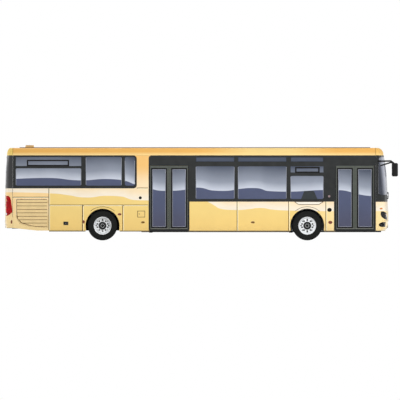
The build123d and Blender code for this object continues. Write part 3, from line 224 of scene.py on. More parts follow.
def plain(name, colour, rough, spread, scale, bump=0.0, bump_scale=220.0, **fixed):
    """Finish with a slow change of tone, uneven gloss and an optional fine grain."""
    shade = Shade(name, **fixed)
    slow = shade.noise(scale, 4)
    dark = tuple(c * (1 - spread) for c in colour[:3]) + (1,)
    light = tuple(min(1, c * (1 + spread)) for c in colour[:3]) + (1,)
    shade.colour(shade.ramp(slow, [(0.3, dark), (0.7, light)]))
    shade.rough(slow, rough * 0.85, min(1, rough * 1.15))
    if bump:
        shade.bump(bump_scale, bump)
    return shade.mat


# horizon lines of the painted reflections on the body and on the panes, X and Z in metres, rear to front
BODY_REFLECTION_LINE = [(-6.69, 1.640), (-5.15, 1.601), (-4.47, 1.530), (-3.86, 1.459), (-3.28, 1.516), (-2.73, 1.493)]
BODY_REFLECTION_LINE += [(-2.29, 1.374), (-1.82, 1.360), (-0.30, 1.400), (0.10, 1.345), (0.30, 1.270), (0.454, 1.180)]
BODY_REFLECTION_LINE += [(0.80, 1.051), (1.17, 1.034), (1.65, 1.068), (1.99, 1.102), (2.37, 1.051), (2.94, 1.017)]
BODY_REFLECTION_LINE += [(6.40, 1.000)]
GLASS_REFLECTION_LINE = [(-6.31, 2.094), (-5.15, 2.122), (-4.10, 2.043), (-3.21, 2.088), (-2.29, 1.918), (-1.69, 1.754)]
GLASS_REFLECTION_LINE += [(-1.22, 1.686), (-0.52, 1.727), (-0.19, 1.799), (0.40, 1.697), (0.81, 1.686), (1.30, 1.754)]
GLASS_REFLECTION_LINE += [(1.82, 1.782), (2.27, 1.680), (2.95, 1.660), (4.15, 1.714), (4.62, 1.714), (5.10, 1.640)]
GLASS_REFLECTION_LINE += [(5.80, 1.510), (6.40, 1.500)]

OCHRE = linear(225, 196, 118)
OCHRE_DARK = linear(229, 195, 114)
PALE_OCHRE = linear(238, 212, 154)
CREAM = linear(229, 219, 200)
TAN_CREAM = linear(230, 208, 170)
PEACH_LOW = linear(232, 206, 150)
PEACH_HIGH = linear(234, 200, 144)
ROOF_ORANGE = linear(222, 176, 102)
BLACK = linear(38, 38, 40)
DUST = linear(120, 100, 72)
# the engine bay's panels start behind here, the tail's black corners behind the second
BAY_X = -5.180
CORNER_X = -6.360


def body_paint():
    """Coach paint: ochre below a flowing line, a painted reflection in cream above it, black at the tail's
    upper corners.
    """
    shade = Shade("body_paint", Coat_Weight=0.4, Coat_Roughness=0.1, Specular_IOR_Level=0.35)
    x, _, z = shade.place
    mix, remap = shade.mix, shade.remap
    above = shade.math("SUBTRACT", z, shade.curve_of_x(BODY_REFLECTION_LINE))
    ochre = mix(remap(z, 0.33, 1.2, smooth=True), OCHRE_DARK, OCHRE)
    ochre = mix(remap(x, 3.7, 4.6, 0.0, 0.85, smooth=True), ochre, PALE_OCHRE)
    peach = mix(remap(z, 0.5, 1.6, smooth=True), PEACH_LOW, PEACH_HIGH)
    ochre = mix(remap(x, BAY_X - 0.006, BAY_X, 0.9, 0.0), ochre, peach)
    # painted reflection: cream above the line, tan further from it, turning orange towards the roof
    reflected_cream = mix(remap(above, 0.0, 0.35, smooth=True), CREAM, TAN_CREAM)
    reflected_cream = mix(remap(z, 1.82, 2.60, smooth=True), reflected_cream, ROOF_ORANGE)
    tone = mix(remap(above, -0.004, 0.004), ochre, reflected_cream)
    cloud = shade.noise(2.2, 4)
    tone = mix(remap(cloud, 0.35, 0.65, 0.0, 0.05), tone, linear(160, 120, 60))
    dust = remap(z, 0.33, 0.60, 0.12, 0.0, smooth=True)
    tone = mix(shade.math("MULTIPLY", dust, shade.noise(9.0, 6)), tone, DUST)
    high = remap(z, TAIL_BAND_Z, TAIL_BAND_Z + 0.003)
    corner = shade.math("MULTIPLY", remap(x, CORNER_X - 0.004, CORNER_X, 1.0, 0.0), high)
    shade.colour(mix(corner, tone, BLACK))
    shade.rough(cloud, 0.32, 0.44)
    shade.bump(320.0, 0.03)
    return shade.mat


def roof_paint():
    """Warm orange roof paint: painted highlights make it paler towards its lower edge and round X = 2.3; it
    pales towards its ends too.
    """
    shade = Shade("roof_paint", Specular_IOR_Level=0.12)
    x, _, z = shade.place
    mix, remap = shade.mix, shade.remap
    # painted highlight, paler towards the roof's lower edge
    edge = remap(z, 2.893, 3.03, smooth=True)
    # painted highlight: the palest stretch lies round X = 2.3
    off_highlight = shade.math("ABSOLUTE", shade.math("SUBTRACT", x, 2.3))
    top = mix(remap(off_highlight, 0.3, 2.6, smooth=True), linear(214, 186, 122), linear(210, 160, 84))
    tone = mix(edge, linear(226, 196, 132), top)
    tone = mix(remap(x, rear(0.268), rear(0.272), 0.7, 0.0), tone, linear(214, 190, 102))
    tone = mix(remap(x, front(0.442), front(0.438), 0.0, 0.4), tone, linear(210, 174, 98))
    cloud = shade.noise(1.7, 5)
    shade.colour(mix(remap(cloud, 0.4, 0.7, 0.0, 0.07), tone, linear(150, 110, 60)))
    shade.rough(cloud, 0.55, 0.7)
    shade.bump(300.0, 0.03)
    return shade.mat


def glass(name, screen=False):
    """Pane with a painted reflection: dark at its head, paling down to a drawn line, slate blue below it."""
    shade = Shade(name, Alpha=0.88, Specular_IOR_Level=0.35)
    x, _, z = shade.place
    mix, remap = shade.mix, shade.remap
    above = shade.math("SUBTRACT", z, shade.curve_of_x(GLASS_REFLECTION_LINE))
    # painted reflection: the sky pales down to the line, and below it slate blue turns plum towards the foot
    deep, slate, plum = linear(70, 77, 93), linear(80, 87, 114), linear(78, 72, 84)
    stops = [(0.0, linear(198, 204, 217)), (0.25, linear(142, 149, 163)), (0.75, deep), (1.0, deep)]
    high = shade.ramp(remap(above, 0.0, 1.15), stops)
    low = mix(remap(z, 0.45, 1.35, 0.4, 0.0, smooth=True), slate, plum)
    tone = mix(remap(above, -0.006, 0.006), low, high)
    if screen:
        # painted reflection: the windscreen pales along its curve, which leans back
        lean = shade.math("MULTIPLY", shade.math("SUBTRACT", z, 1.35), 0.11)
        across = remap(shade.math("ADD", x, lean), front(0.20), front(-0.02), smooth=True)
        tone = mix(across, linear(58, 62, 72), linear(186, 190, 204))
    cloud = shade.noise(1.3, 3)
    shade.colour(mix(remap(cloud, 0.35, 0.7, 0.0, 0.12), tone, linear(40, 46, 60)))
    shade.rough(cloud, 0.04, 0.09)
    return shade.mat


def gloss(level, **more):
    """Shader inputs that a finish sets, the specular level first."""
    return {"Specular_IOR_Level": level, **more}


COATED = {"Coat_Weight": 0.3}
LACQUERED = {"Coat_Weight": 1.0}
# colour, then roughness, spread of tone and its scale, and a grain's strength and scale where it has one
PLAIN = {
    "seam": ((72, 48, 22), (0.7, 0.08, 12), gloss(0.2)),
    # pale strips painted as highlights beside the seams
    "seam_light": ((252, 240, 200), (0.5, 0.04, 12), {}),
    "skirt_rubber": ((112, 98, 72), (0.7, 0.08, 12), {}),
    "hub_dark": ((24, 27, 27), (0.55, 0.12, 20), gloss(0.1)),
    "leaf_paint": ((72, 76, 70), (0.4, 0.1, 8), gloss(0.25)),
    # pale strips painted as highlights at the panes' edges
    "glass_edge": ((140, 144, 158), (0.4, 0.05, 12), {}),
    "print_black": ((42, 47, 50), (0.5, 0.1, 8), gloss(0.2)),
    # near black, as painted shade in the wheel wells
    "well": ((10, 10, 11), (0.9, 0.3, 20), gloss(0.05)),
    "vent_paint": ((190, 156, 96), (0.5, 0.06, 8), {}),
    "grille_paint": ((216, 190, 136), (0.5, 0.05, 6), {}),
    "grille_shade": ((96, 66, 30), (0.7, 0.08, 12), gloss(0.2)),
    "door_bead": ((112, 114, 106), (0.4, 0.06, 12), {}),
    "roof_joint": ((58, 38, 18), (0.8, 0.06, 12), gloss(0.05)),
    "glass_dark": ((24, 26, 32), (0.08, 0.1, 12), LACQUERED),
    "glass_clear": ((214, 224, 226), (0.06, 0.03, 12), {"Alpha": 0.28}),
    "rim_paint": ((237, 239, 241), (0.4, 0.03, 30, 0.04, 400), gloss(0.3, Metallic=0.08)),
    "arm_paint": ((96, 98, 100), (0.45, 0.06, 20), {}),
    "pole_paint": ((236, 190, 40), (0.35, 0.05, 12), {}),
    "black_trim": ((34, 36, 36), (0.34, 0.12, 5, 0.03, 260), gloss(0.22)),
    "lamp_dark": ((20, 20, 22), (0.12, 0.15, 20), COATED),
    "lamp_red": ((200, 14, 22), (0.22, 0.04, 6), gloss(0.35)),
    "lining": ((176, 178, 182), (0.6, 0.05, 9, 0.15, 500), {}),
    "lining_dark": ((46, 47, 50), (0.62, 0.1, 12, 0.25, 420), {}),
    "floor_covering": ((92, 96, 102), (0.75, 0.25, 160, 0.1, 600), {}),
    "chassis": ((38, 38, 40), (0.6, 0.2, 10, 0.2, 90), {}),
    "cast_parts": ((66, 66, 68), (0.58, 0.25, 24, 0.35, 160), {"Metallic": 0.4}),
    "seat_fabric": ((52, 74, 132), (0.9, 0.35, 60, 0.4, 700), {}),
    "tyre": ((27, 28, 27), (0.85, 0.14, 24, 0.25, 300), gloss(0.12)),
    "rubber": ((14, 14, 15), (0.7, 0.1, 30, 0.1, 300), gloss(0.2)),
    "steel": ((170, 172, 176), (0.3, 0.08, 40, 0.05, 300), {"Metallic": 0.9}),
    "chrome": ((225, 226, 228), (0.08, 0.03, 40), {"Metallic": 1.0}),
    "amber": ((226, 120, 20), (0.15, 0.1, 30), LACQUERED),
    "marker_pale": ((228, 150, 78), (0.25, 0.08, 30), {}),
    "amber_dark": ((106, 70, 10), (0.25, 0.1, 30), COATED),
    "switch_grey": ((128, 108, 110), (0.5, 0.08, 20), {}),
    "brown_lens": ((112, 48, 26), (0.25, 0.1, 30), COATED),
    "clear_lens": ((235, 238, 242), (0.08, 0.03, 30), LACQUERED),
    "mirror_face": ((210, 214, 220), (0.03, 0.02, 20), {"Metallic": 1.0}),
    "plate": ((226, 220, 206), (0.4, 0.03, 30), {}),
}
finishes = {"body_paint": body_paint(), "roof_paint": roof_paint(), "glass": glass("glass")}
finishes["screen_glass"] = glass("screen_glass", screen=True)
for name, (colour, numbers, fixed) in PLAIN.items():
    finishes[name] = plain(name, linear(*colour), *numbers, **fixed)
OWN_FINISH = {"windscreen": "screen_glass", "roof_vent": "vent_paint", "mirrors": "rubber"}
OWN_FINISH.update({name: "leaf_paint" for name in nodes if name.endswith("_leaf")})
slot_of = {s["node"]: s["material_slot"] for s in frame["record"]["subparts"]}
for name, obj in nodes.items():
    obj.data.materials.clear()
    obj.data.materials.append(finishes[OWN_FINISH.get(name, slot_of[name])])


# ---------------- mesh helpers
def placed(name, data, place=(0, 0, 0)):
    """New object in the scene."""
    obj = bpy.data.objects.new(name, data)
    bpy.context.scene.collection.objects.link(obj)
    obj.location = place
    return obj


def meshed(name, mesh):
    """Mesh from a bmesh, which it frees."""
    data = bpy.data.meshes.new(name)
    mesh.to_mesh(data)
    mesh.free()
    return data


def piece(name, mesh, finish, body=BODY, smooth=True):
    """Object from a bmesh, with a finish, riding on a body."""
    bmesh.ops.recalc_face_normals(mesh, faces=mesh.faces)
    data = meshed(name, mesh)
    obj = placed(name, data)
    data.materials.append(finishes[finish])
    if smooth:
        for polygon in data.polygons:
            polygon.use_smooth = True
        data.set_sharp_from_angle(angle=math.radians(32))
    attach(obj, body)
    return obj


def join_rings(mesh, rings, caps=True):
    """Joins closed rings of vertices one after another, with a face on both ends."""
    count = len(rings[0]) if rings else 0
    for one, two in zip(rings, rings[1:]):
        for i in range(count):
            j = (i + 1) % count
            mesh.faces.new((one[i], one[j], two[j], two[i]))
    if caps and len(rings) > 1:
        mesh.faces.new(rings[0])
        mesh.faces.new(list(reversed(rings[-1])))


def turned(profile, segments, centre):
    """bmesh turned about the Y axis through centre from (along, radius) points, closed."""
    mesh = bmesh.new()
    rings = []
    for k in range(segments):
        angle = 2 * math.pi * k / segments
        spots = [Vector((r * math.cos(angle), along, r * math.sin(angle))) for along, r in profile]
        rings.append([mesh.verts.new(spot + Vector(centre)) for spot in spots])
    join_rings(mesh, rings + rings[:1], caps=False)
    return mesh


def put_box(mesh, low, high, bevel=0.0, turn=None):
    """Adds a box between two corners to a bmesh, its edges rounded by bevel."""
    low, high = Vector(low), Vector(high)
    made = bmesh.ops.create_cube(mesh, size=1.0)["verts"]
    middle = (low + high) / 2
    for v in made:
        v.co = Vector(a * b for a, b in zip(v.co, high - low))
        if turn:
            v.co = turn @ v.co
        v.co += middle
    if bevel:
        edges = list({e for v in made for e in v.link_edges})
        bmesh.ops.bevel(mesh, geom=edges, offset=bevel, segments=2, affect="EDGES", profile=0.6)


def put_rod(mesh, start, end, radius, segments=12):
    """Adds a straight rod to a bmesh."""
    start, end = Vector(start), Vector(end)
    turn = (end - start).to_track_quat("Z", "Y").to_matrix().to_4x4()
    place = Matrix.Translation((start + end) / 2) @ turn
    put_cone(mesh, radius, radius, (end - start).length, place, segments)


def put_cone(mesh, foot, head, height, place, segments):
    """Adds a closed cone's slice, its middle at the place."""
    bmesh.ops.create_cone(
        mesh, cap_ends=True, segments=segments, radius1=foot, radius2=head, depth=height, matrix=place
    )


def put_chain(mesh, line, radius, segments):
    """Adds rods from each point of a line to the next."""
    for a, b in zip(line, line[1:]):
        put_rod(mesh, a, b, radius, segments)


def put_prism(mesh, outline, a, b):
    """Adds a closed solid through the places that outline gives at a and at b."""
    join_rings(mesh, [[mesh.verts.new(spot) for spot in outline(at)] for at in (a, b)])


def boxes(name, finish, rows, bevel=0.0, body=BODY):
    """Piece of boxes, each row two ends in X, in Y and in Z, and its own bevel where it has one."""
    mesh = bmesh.new()
    for x0, x1, y0, y1, z0, z1, *own in rows:
        low, high = zip(sorted((x0, x1)), sorted((y0, y1)), (z0, z1))
        put_box(mesh, low, high, own[0] if own else bevel)
    return piece(name, mesh, finish, body)


def side_frame(name, finish, x0, x1, z0, z1, width, y0, y1, body=BODY):
    """Piece that is a thin rectangular frame in a side wall's plane."""
    rows = [(x0, x1, y0, y1, z, z + width) for z in (z0, z1 - width)]
    rows += [(x, x + width, y0, y1, z0 + width, z1 - width) for x in (x0, x1 - width)]
    return boxes(name, finish, rows, 0.001, body)


def rods(name, finish, rows, body=BODY):
    """Piece of straight rods, each row its ends, radius and facets."""
    mesh = bmesh.new()
    for row in rows:
        put_rod(mesh, *row)
    return piece(name, mesh, finish, body)


def wall(side, inner, outer):
    """Low and high Y of a layer on a side wall, between two distances past the wall's face."""
    return sorted((side * (HALF + inner), side * (HALF + outer)))


# ---------------- camera, light, ground
stage_floor = bmesh.new()
bmesh.ops.create_grid(stage_floor, x_segments=1, y_segments=1, size=90)
ground = placed("ground", meshed("ground", stage_floor), (0, 0, -0.001))
shade = Shade("ground", Roughness=0.9, Emission_Color=(1, 1, 1, 1))
shade.colour(shade.ramp(shade.noise(0.4, 3), [(0.3, linear(238, 238, 238)), (0.7, linear(244, 244, 244))]))
# away from the lamps the ground glows a little, so that it stays evenly white
GLOW_X, GLOW_Y = 19.0, 17.0
along = shade.math("POWER", shade.math("DIVIDE", shade.place[0], GLOW_X), 2.0)
across = shade.math("POWER", shade.math("DIVIDE", shade.place[1], GLOW_Y), 2.0)
away = shade.math("SQRT", shade.math("ADD", along, across))
shade.link(shade.remap(away, 0.30, 1.25, 0.0, 0.52, smooth=True), shade.bsdf.inputs["Emission Strength"])
ground.data.materials.append(shade.mat)

# the world is white behind the bus and plainer as a light
world = bpy.data.worlds.new("studio")
bpy.context.scene.world = world
world.use_nodes = True
tree = world.node_tree
background = tree.nodes["Background"]
background.inputs["Color"].default_value = (1, 1, 1, 1)
rays = tree.nodes.new("ShaderNodeLightPath")
seen = tree.nodes.new("ShaderNodeMath")
seen.operation = "MAXIMUM"
tree.links.new(rays.outputs["Is Camera Ray"], seen.inputs[0])
tree.links.new(rays.outputs["Is Transmission Ray"], seen.inputs[1])
level = tree.nodes.new("ShaderNodeMapRange")
tree.links.new(seen.outputs[0], level.inputs[0])
level.inputs["To Min"].default_value = 0.58
level.inputs["To Max"].default_value = 1.0
tree.links.new(level.outputs[0], background.inputs["Strength"])

LIT = Vector((0, 0, 1.4))
# name, place, size, power
for name, place, size, power in (
    ("key", (2.0, -13.0, 9.0), (12, 6), 1230),
    ("top", (0, 2.0, 14.0), (14, 6), 560),
    ("far", (-3.0, 13.0, 8.0), (12, 6), 900),
    ("nose", (15.0, -2.0, 6.0), (6, 6), 500),
    ("tail", (-15.0, 2.0, 6.0), (6, 6), 500),
):
    data = bpy.data.lights.new(name, "AREA")
    data.shape = "RECTANGLE"
    data.size, data.size_y = size
    data.energy = power
    lamp = placed(name, data, place)
    lamp.rotation_euler = (LIT - Vector(place)).to_track_quat("-Z", "Y").to_euler()

camera_data = bpy.data.cameras.new("camera")
camera_data.type = "ORTHO"
camera_data.ortho_scale = 13.6
camera_data.clip_end = 200
camera = placed("camera", camera_data, (-0.0493, -30, 1.3736))
camera.rotation_euler = (math.radians(90), 0, 0)
bpy.context.scene.camera = camera
bpy.context.scene.view_settings.view_transform = "Standard"

# ---------------- tyres and wheels
# side of a tyre: distance from the middle plane, radius
TYRE_SIDE = [(0.121, 0.303), (0.131, 0.318), (0.140, 0.330), (0.141, 0.342), (0.147, 0.362), (0.1495, 0.392)]
TYRE_SIDE += [(0.1478, 0.396), (0.1478, 0.404), (0.1495, 0.408), (0.149, 0.432), (0.146, 0.452)]
TYRE_SIDE += [(0.143, 0.462), (0.141, 0.476), (0.134, 0.490), (0.120, 0.4985)]
GROOVES = [0.088, 0.046, 0.0]
GROOVE_HALF = 0.005
GROOVE_DEPTH = 0.012
TREAD_R = 0.5015
LUGS = 54
NUTS = 10
NUT_CIRCLE = 0.186
HUB_BOLTS = 12
HUB_CIRCLE = 0.098
HUB_CAP = [(0.030, 0.0001), (0.040, 0.0002), (0.036, 0.045), (0.030, 0.062), (0.010, 0.0735), (0.010, 0.060)]
# middle planes of the tyres, and half the twins' spacing
FRONT_TRACK = 1.052
REAR_TRACK = 0.905
TWIN = 0.170


def tyre_profile():
    """Closed outline of a tyre with its grooves, one side then the other."""
    tread = []
    for centre in GROOVES:
        tread.append((centre + GROOVE_HALF + 0.002, TREAD_R))
        tread.append((centre + GROOVE_HALF, TREAD_R - GROOVE_DEPTH))
        if centre:
            tread.append((centre - GROOVE_HALF, TREAD_R - GROOVE_DEPTH))
            tread.append((centre - GROOVE_HALF - 0.002, TREAD_R))
    half = TYRE_SIDE + tread
    return half + [(-along, radius) for along, radius in reversed(half)]


def add_shoulder_blocks(mesh, centre):
    """Short raised lugs at both shoulders, with cross grooves between them."""
    size = Vector((0.042, 0.017, 0.019))
    for side in (-1, 1):
        middle = Vector((0, side * 0.128, 0.485))
        for k in range(LUGS):
            turn = Matrix.Rotation(-2 * math.pi * k / LUGS, 3, "Y")
            for v in bmesh.ops.create_cube(mesh, size=1.0)["verts"]:
                spot = Vector(a * b for a, b in zip(v.co, size)) + middle
                v.co = turn @ spot + Vector(centre)


def circle(count, radius, x, start=0.0):
    """X and Z of places round a wheel's axle."""
    for k in range(count):
        angle = 2 * math.pi * (k + start) / count
        yield x + radius * math.cos(angle), WHEEL_Z + radius * math.sin(angle)


def studs(places, side, start, end, radius, facets):
    """Rows of rods that stand across a wheel, from one distance off the middle to another."""
    return [((x, side * start, z), (x, side * end, z), radius, facets) for x, z in places]


for side, hand in SIDES:
    twins = [(REAR_AXLE_X, side * (REAR_TRACK + off), WHEEL_Z) for off in (TWIN, -TWIN)]
    for node, centres, body in (
        (f"front_tyre_{hand}", [(FRONT_AXLE_X, side * FRONT_TRACK, WHEEL_Z)], f"front_wheel_{hand}"),
        (f"rear_tyres_{hand}", twins, f"rear_wheels_{hand}"),
    ):
        for k, centre in enumerate(centres):
            mesh = turned(tyre_profile(), 108, centre)
            add_shoulder_blocks(mesh, centre)
            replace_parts(piece(f"tread_{node}_{k}", mesh, "tyre", body), node)

for side, hand in SIDES:
    # name, axle, plane of the disc's outer face, body
    for label, axle_x, plane, body in (
        ("front", FRONT_AXLE_X, FRONT_TRACK + 0.080, f"front_wheel_{hand}"),
        ("rear", REAR_AXLE_X, REAR_TRACK + TWIN - 0.020, f"rear_wheels_{hand}"),
    ):
        hub = plane + 0.0255
        nuts = list(circle(NUTS, NUT_CIRCLE, axle_x, 0.5))
        rows = studs(nuts, side, plane + 0.005, plane + 0.026, 0.0155, 6)
        rows += studs(nuts, side, plane + 0.025, plane + 0.036, 0.009, 10)
        rows += studs(circle(HUB_BOLTS, HUB_CIRCLE, axle_x), side, plane + 0.024, plane + 0.034, 0.008, 6)
        rods(f"wheel_nuts_{label}_{hand}", "arm_paint", rows, body)
        rows = studs(nuts, side, plane - 0.002, plane + 0.005, 0.029, 20)
        rods(f"nut_pits_{label}_{hand}", "rubber", rows, body)
        rows = studs([(axle_x, WHEEL_Z)], side, hub, hub + 0.003, 0.134, 48)
        rods(f"hub_plate_{label}_{hand}", "rubber", rows, body)
        mesh = turned([(side * (hub + out), r) for out, r in HUB_CAP], 48, (axle_x, 0, WHEEL_Z))
        piece(f"hub_cap_{label}_{hand}", mesh, "hub_dark", body)
        ends = [(axle_x + x, side * (plane + out), WHEEL_Z) for x, out in ((0.262, -0.010), (0.268, 0.045))]
        rods(f"valve_{label}_{hand}", "chrome", [(*ends, 0.004, 8)], body)


# ---------------- wheel arches
def arch_band(name, axle_x, side, start, end, steps, section, finish, foot=0.0):
    """Band round a wheel arch through (radius, depth past the wall's face) points."""
    mesh = bmesh.new()
    rings = []
    for k in range(steps + 1):
        angle = start + (end - start) * k / steps
        ring = []
        for radius, depth in section:
            x = axle_x + radius * math.cos(angle)
            if foot and not 0 <= angle <= math.pi:
                # below the axle the band runs straight down, drawn in a little
                drawn_in = radius - foot * min(1, abs(math.sin(angle)) * 5)
                x = axle_x + math.copysign(drawn_in, math.cos(angle))
            ring.append(mesh.verts.new((x, side * (HALF + depth), WHEEL_Z + radius * math.sin(angle))))
        rings.append(ring)
    join_rings(mesh, rings)
    piece(name, mesh, finish)


LIP = [(0.5765, -0.001), (0.5765, -0.051), (0.566, -0.051), (0.566, -0.001), (0.5705, 0.0005)]
FLANGE = [(0.634, -0.002), (0.634, 0.0014), (0.648, 0.0014), (0.648, -0.002)]
LIP_START = -math.asin((WHEEL_Z - SKIRT_Z) / 0.600)
for side, hand in SIDES:
    for label, axle_x in AXLES:
        args = (axle_x, side, LIP_START, math.pi - LIP_START, 48, LIP, "rubber", 0.010)
        arch_band(f"arch_lip_{label}_{hand}", *args)
        args = (axle_x, side, math.radians(50), math.radians(130), 32, FLANGE, "seam")
        arch_band(f"arch_flange_{label}_{hand}", *args)

# ---------------- radiator grille
# heights of the shadow lines between the blades, and the panel's curved rear edge
GRILLE_LINES = [1.395, 1.289, 1.173, 1.052, 0.939, 0.818, 0.703, 0.590, 0.475]
GRILLE_EDGE = [(1.395, 0.402), (0.939, 0.402), (0.742, 0.432), (0.660, 0.495), (0.590, 0.592), (0.514, 0.835)]
GRILLE_EDGE += [(0.470, 1.10)]
GRILLE_X1 = rear(1.438)
BLADE_TILT = math.radians(1.6)


def grille_edge(z):
    """X of the grille's rear edge at a height."""
    for (z1, u1), (z0, u0) in zip(GRILLE_EDGE, GRILLE_EDGE[1:]):
        if z >= z0:
            return rear(u1 + (u0 - u1) * min(1, (z1 - z) / (z1 - z0)) if z < z1 else u1)
    return rear(GRILLE_EDGE[-1][1])


for side, hand in SIDES:
    mesh = bmesh.new()
    tilt = Matrix.Rotation(side * BLADE_TILT, 3, "X")
    y0, y1 = wall(side, -0.006, 0.0004)
    for top, low in zip(GRILLE_LINES, GRILLE_LINES[1:]):
        put_box(mesh, (grille_edge(low + 0.03), y0, low + 0.006), (GRILLE_X1, y1, top - 0.005), 0, tilt)
    piece(f"grille_blades_{hand}", mesh, "grille_paint")
    # painted shadow: dark strips in the gaps between the blades and along the panel's rear edge
    mesh = bmesh.new()
    y0, y1 = wall(side, -0.004, 0.0022)
    for z in GRILLE_LINES:
        put_box(mesh, (grille_edge(z), y0, z - 0.008), (GRILLE_X1, y1, z + 0.008))
    put_chain(mesh, [(rear(u), side * (HALF - 0.003), z) for z, u in GRILLE_EDGE], 0.009, 8)
    piece(f"grille_lines_{hand}", mesh, "grille_shade")

# ---------------- panel seams and their painted highlights, skirt edges, and wells in painted shade
# upright seams: place, foot, head; level ones: rear end, front end, height; skirts' edges: rear end, front end
FLAP_TOP_Z = 1.204
SEAMS = [(1.497, 0.352, TAIL_BAND_Z), (2.642, SKIRT_Z, FLAP_TOP_Z), (4.009, SKIRT_Z, FLAP_TOP_Z)]
SEAMS += [(u, SKIRT_Z, WAIST_Z) for u in (7.895, 9.651, 10.914)]
PILLAR_LEDGE = (4.480, 4.862, 1.780)
LEDGES = [(0.262, 1.497, 1.471), (1.497, 4.862, FLAP_TOP_Z), PILLAR_LEDGE]
SKIRTS = {-1: [(1.50, 2.740), (3.900, 4.915), (6.245, 9.700), (10.860, 11.236)]}
SKIRTS[1] = [(1.50, 2.740), (3.900, 9.700), (10.860, 12.560)]
SEAM_HALF = 0.0125
LEDGE_HALF = 0.011
for side, hand in SIDES:
    layer = wall(side, -0.002, 0.0006)
    lines = [(rear(u) - SEAM_HALF, rear(u) + SEAM_HALF, *layer, z0, z1) for u, z0, z1 in SEAMS]
    # painted highlights: pale strips beside each upright seam and under each ledge
    highlight_rows = [(rear(u) + 0.015, rear(u) + 0.033, *layer, z0, z1) for u, z0, z1 in SEAMS]
    for u0, u1, z in LEDGES if side < 0 else LEDGES[:-1]:
        lines.append((rear(u0) + 0.006, rear(u1) - 0.006, *layer, z - LEDGE_HALF, z + LEDGE_HALF))
        highlight_rows.append((rear(u0) + 0.030, rear(u1) - 0.006, *layer, z - 0.030, z - 0.013))
    boxes(f"seams_{hand}", "seam", lines)
    boxes(f"seam_glow_{hand}", "seam_light", highlight_rows)
    edges = [(rear(u0), rear(u1), *wall(side, -0.012, -0.004), 0.300, 0.335) for u0, u1 in SKIRTS[side]]
    boxes(f"skirt_edge_{hand}", "skirt_rubber", edges)
    # splash shields inboard of the rear wheels, near black as painted shade in the wells
    shield = (side * 0.548, side * 0.552, 0.337, 0.84)
    rows = [(REAR_AXLE_X + way * 0.15, REAR_AXLE_X + way * 0.62, *shield) for way in (-1, 1)]
    boxes(f"splash_shield_{hand}", "well", rows)
doorways = ((rear(4.921), rear(6.241)), (front(1.800), front(0.480)))
boxes("door_sills", "rubber", [(x0, x1, -HALF + 0.002, -HALF + 0.007, 0.304, 0.360) for x0, x1 in doorways])

# ---------------- small marks on the sides
# name, X, Z, half sizes, finish
MARKS = [
    ("tail_side_lamp", rear(0.225), 0.627, (0.027, 0.062), "brown_lens"),
    ("mid_side_lamp", rear(2.684), 0.632, (0.032, 0.060), "brown_lens"),
    ("marker_rear", rear(3.900), 0.888, (0.066, 0.038), "brown_lens"),
    ("marker_pillar", rear(4.694), 0.615, (0.066, 0.036), "amber_dark"),
    ("marker_centre", front(4.612), 0.615, (0.066, 0.036), "amber_dark"),
    ("marker_front", front(1.976), 0.612, (0.070, 0.054), "brown_lens"),
    ("side_turn_lamp", front(2.004), 1.037, (0.076, 0.068), "rubber"),
    ("roof_switch", front(2.015), 1.500, (0.042, 0.038), "switch_grey"),
    ("tank_cap", rear(4.603), 1.449, (0.050, 0.050), "rubber"),
]
MARK_PROUD = 0.006
MARK_STEPS = 28
for side, hand in SIDES:
    for name, x, z, (a, b), finish in MARKS:
        if name == "roof_switch" and side > 0:
            continue
        mesh = bmesh.new()
        rings = []
        for depth, share in ((-0.003, 1.0), (MARK_PROUD * 0.6, 1.0), (MARK_PROUD, 0.82)):
            ring = []
            for k in range(MARK_STEPS):
                angle = 2 * math.pi * k / MARK_STEPS
                spot = (x + a * share * math.cos(angle), side * (HALF + depth), z + b * share * math.sin(angle))
                ring.append(mesh.verts.new(spot))
            rings.append(ring)
        join_rings(mesh, rings)
        piece(f"{name}_{hand}", mesh, finish)

# fuel flap on the pillar's foot: a square lid with a shadow line and a lock
FLAP_X0, FLAP_X1, FLAP_Z0, FLAP_Z1 = rear(4.520), rear(4.748), 0.800, 0.990
FLAP_GAP = 0.017
mesh = bmesh.new()
put_box(mesh, (FLAP_X0, -HALF - 0.004, FLAP_Z0), (FLAP_X1, -HALF + 0.004, FLAP_Z1), 0.0035)
piece("fuel_flap", mesh, "body_paint")
outer = (FLAP_X0 - FLAP_GAP, FLAP_X1 + FLAP_GAP, FLAP_Z0 - FLAP_GAP, FLAP_Z1 + FLAP_GAP)
side_frame("fuel_flap_gap", "seam", *outer, FLAP_GAP, -HALF - 0.0012, -HALF + 0.004)
ends = [(FLAP_X0 + 0.048, -HALF - out, 0.9) for out in (0.0035, 0.008)]
rods("fuel_flap_lock", "black_trim", [(*ends, 0.016, 20)])

# lock of the service flap, and its counterpart's on the left wall
LOCK_X = rear(2.073)
LOCK_Z = 0.579
PLATE_OUTLINE = [(front(3.061), 1.222), (front(2.364), 1.222), (front(2.215), 1.316), (front(3.190), 1.316)]
for side, hand in SIDES:
    body = "service_flap" if side < 0 else BODY
    row = (LOCK_X - 0.082, LOCK_X + 0.082, *wall(side, -0.001, 0.005), LOCK_Z - 0.059, LOCK_Z + 0.059)
    boxes(f"flap_lock_{hand}", "black_trim", [row], 0.0024, body)
    key = [(LOCK_X, side * (HALF + out), LOCK_Z + 0.002) for out in (0.004, 0.008)]
    rods(f"flap_key_{hand}", "steel", [(*key, 0.012, 4)], body)
    # blank pale plate with a dark rim, over the front wheel arch
    mesh = bmesh.new()
    put_prism(mesh, lambda y: [(x, y, z) for x, z in PLATE_OUTLINE], *wall(side, -0.002, 0.003))
    piece(f"badge_plate_{hand}", mesh, "plate", smooth=False)
    mesh = bmesh.new()
    put_chain(mesh, [(x, side * (HALF + 0.001), z) for x, z in PLATE_OUTLINE + PLATE_OUTLINE[:1]], 0.009, 8)
    piece(f"badge_rim_{hand}", mesh, "seam")

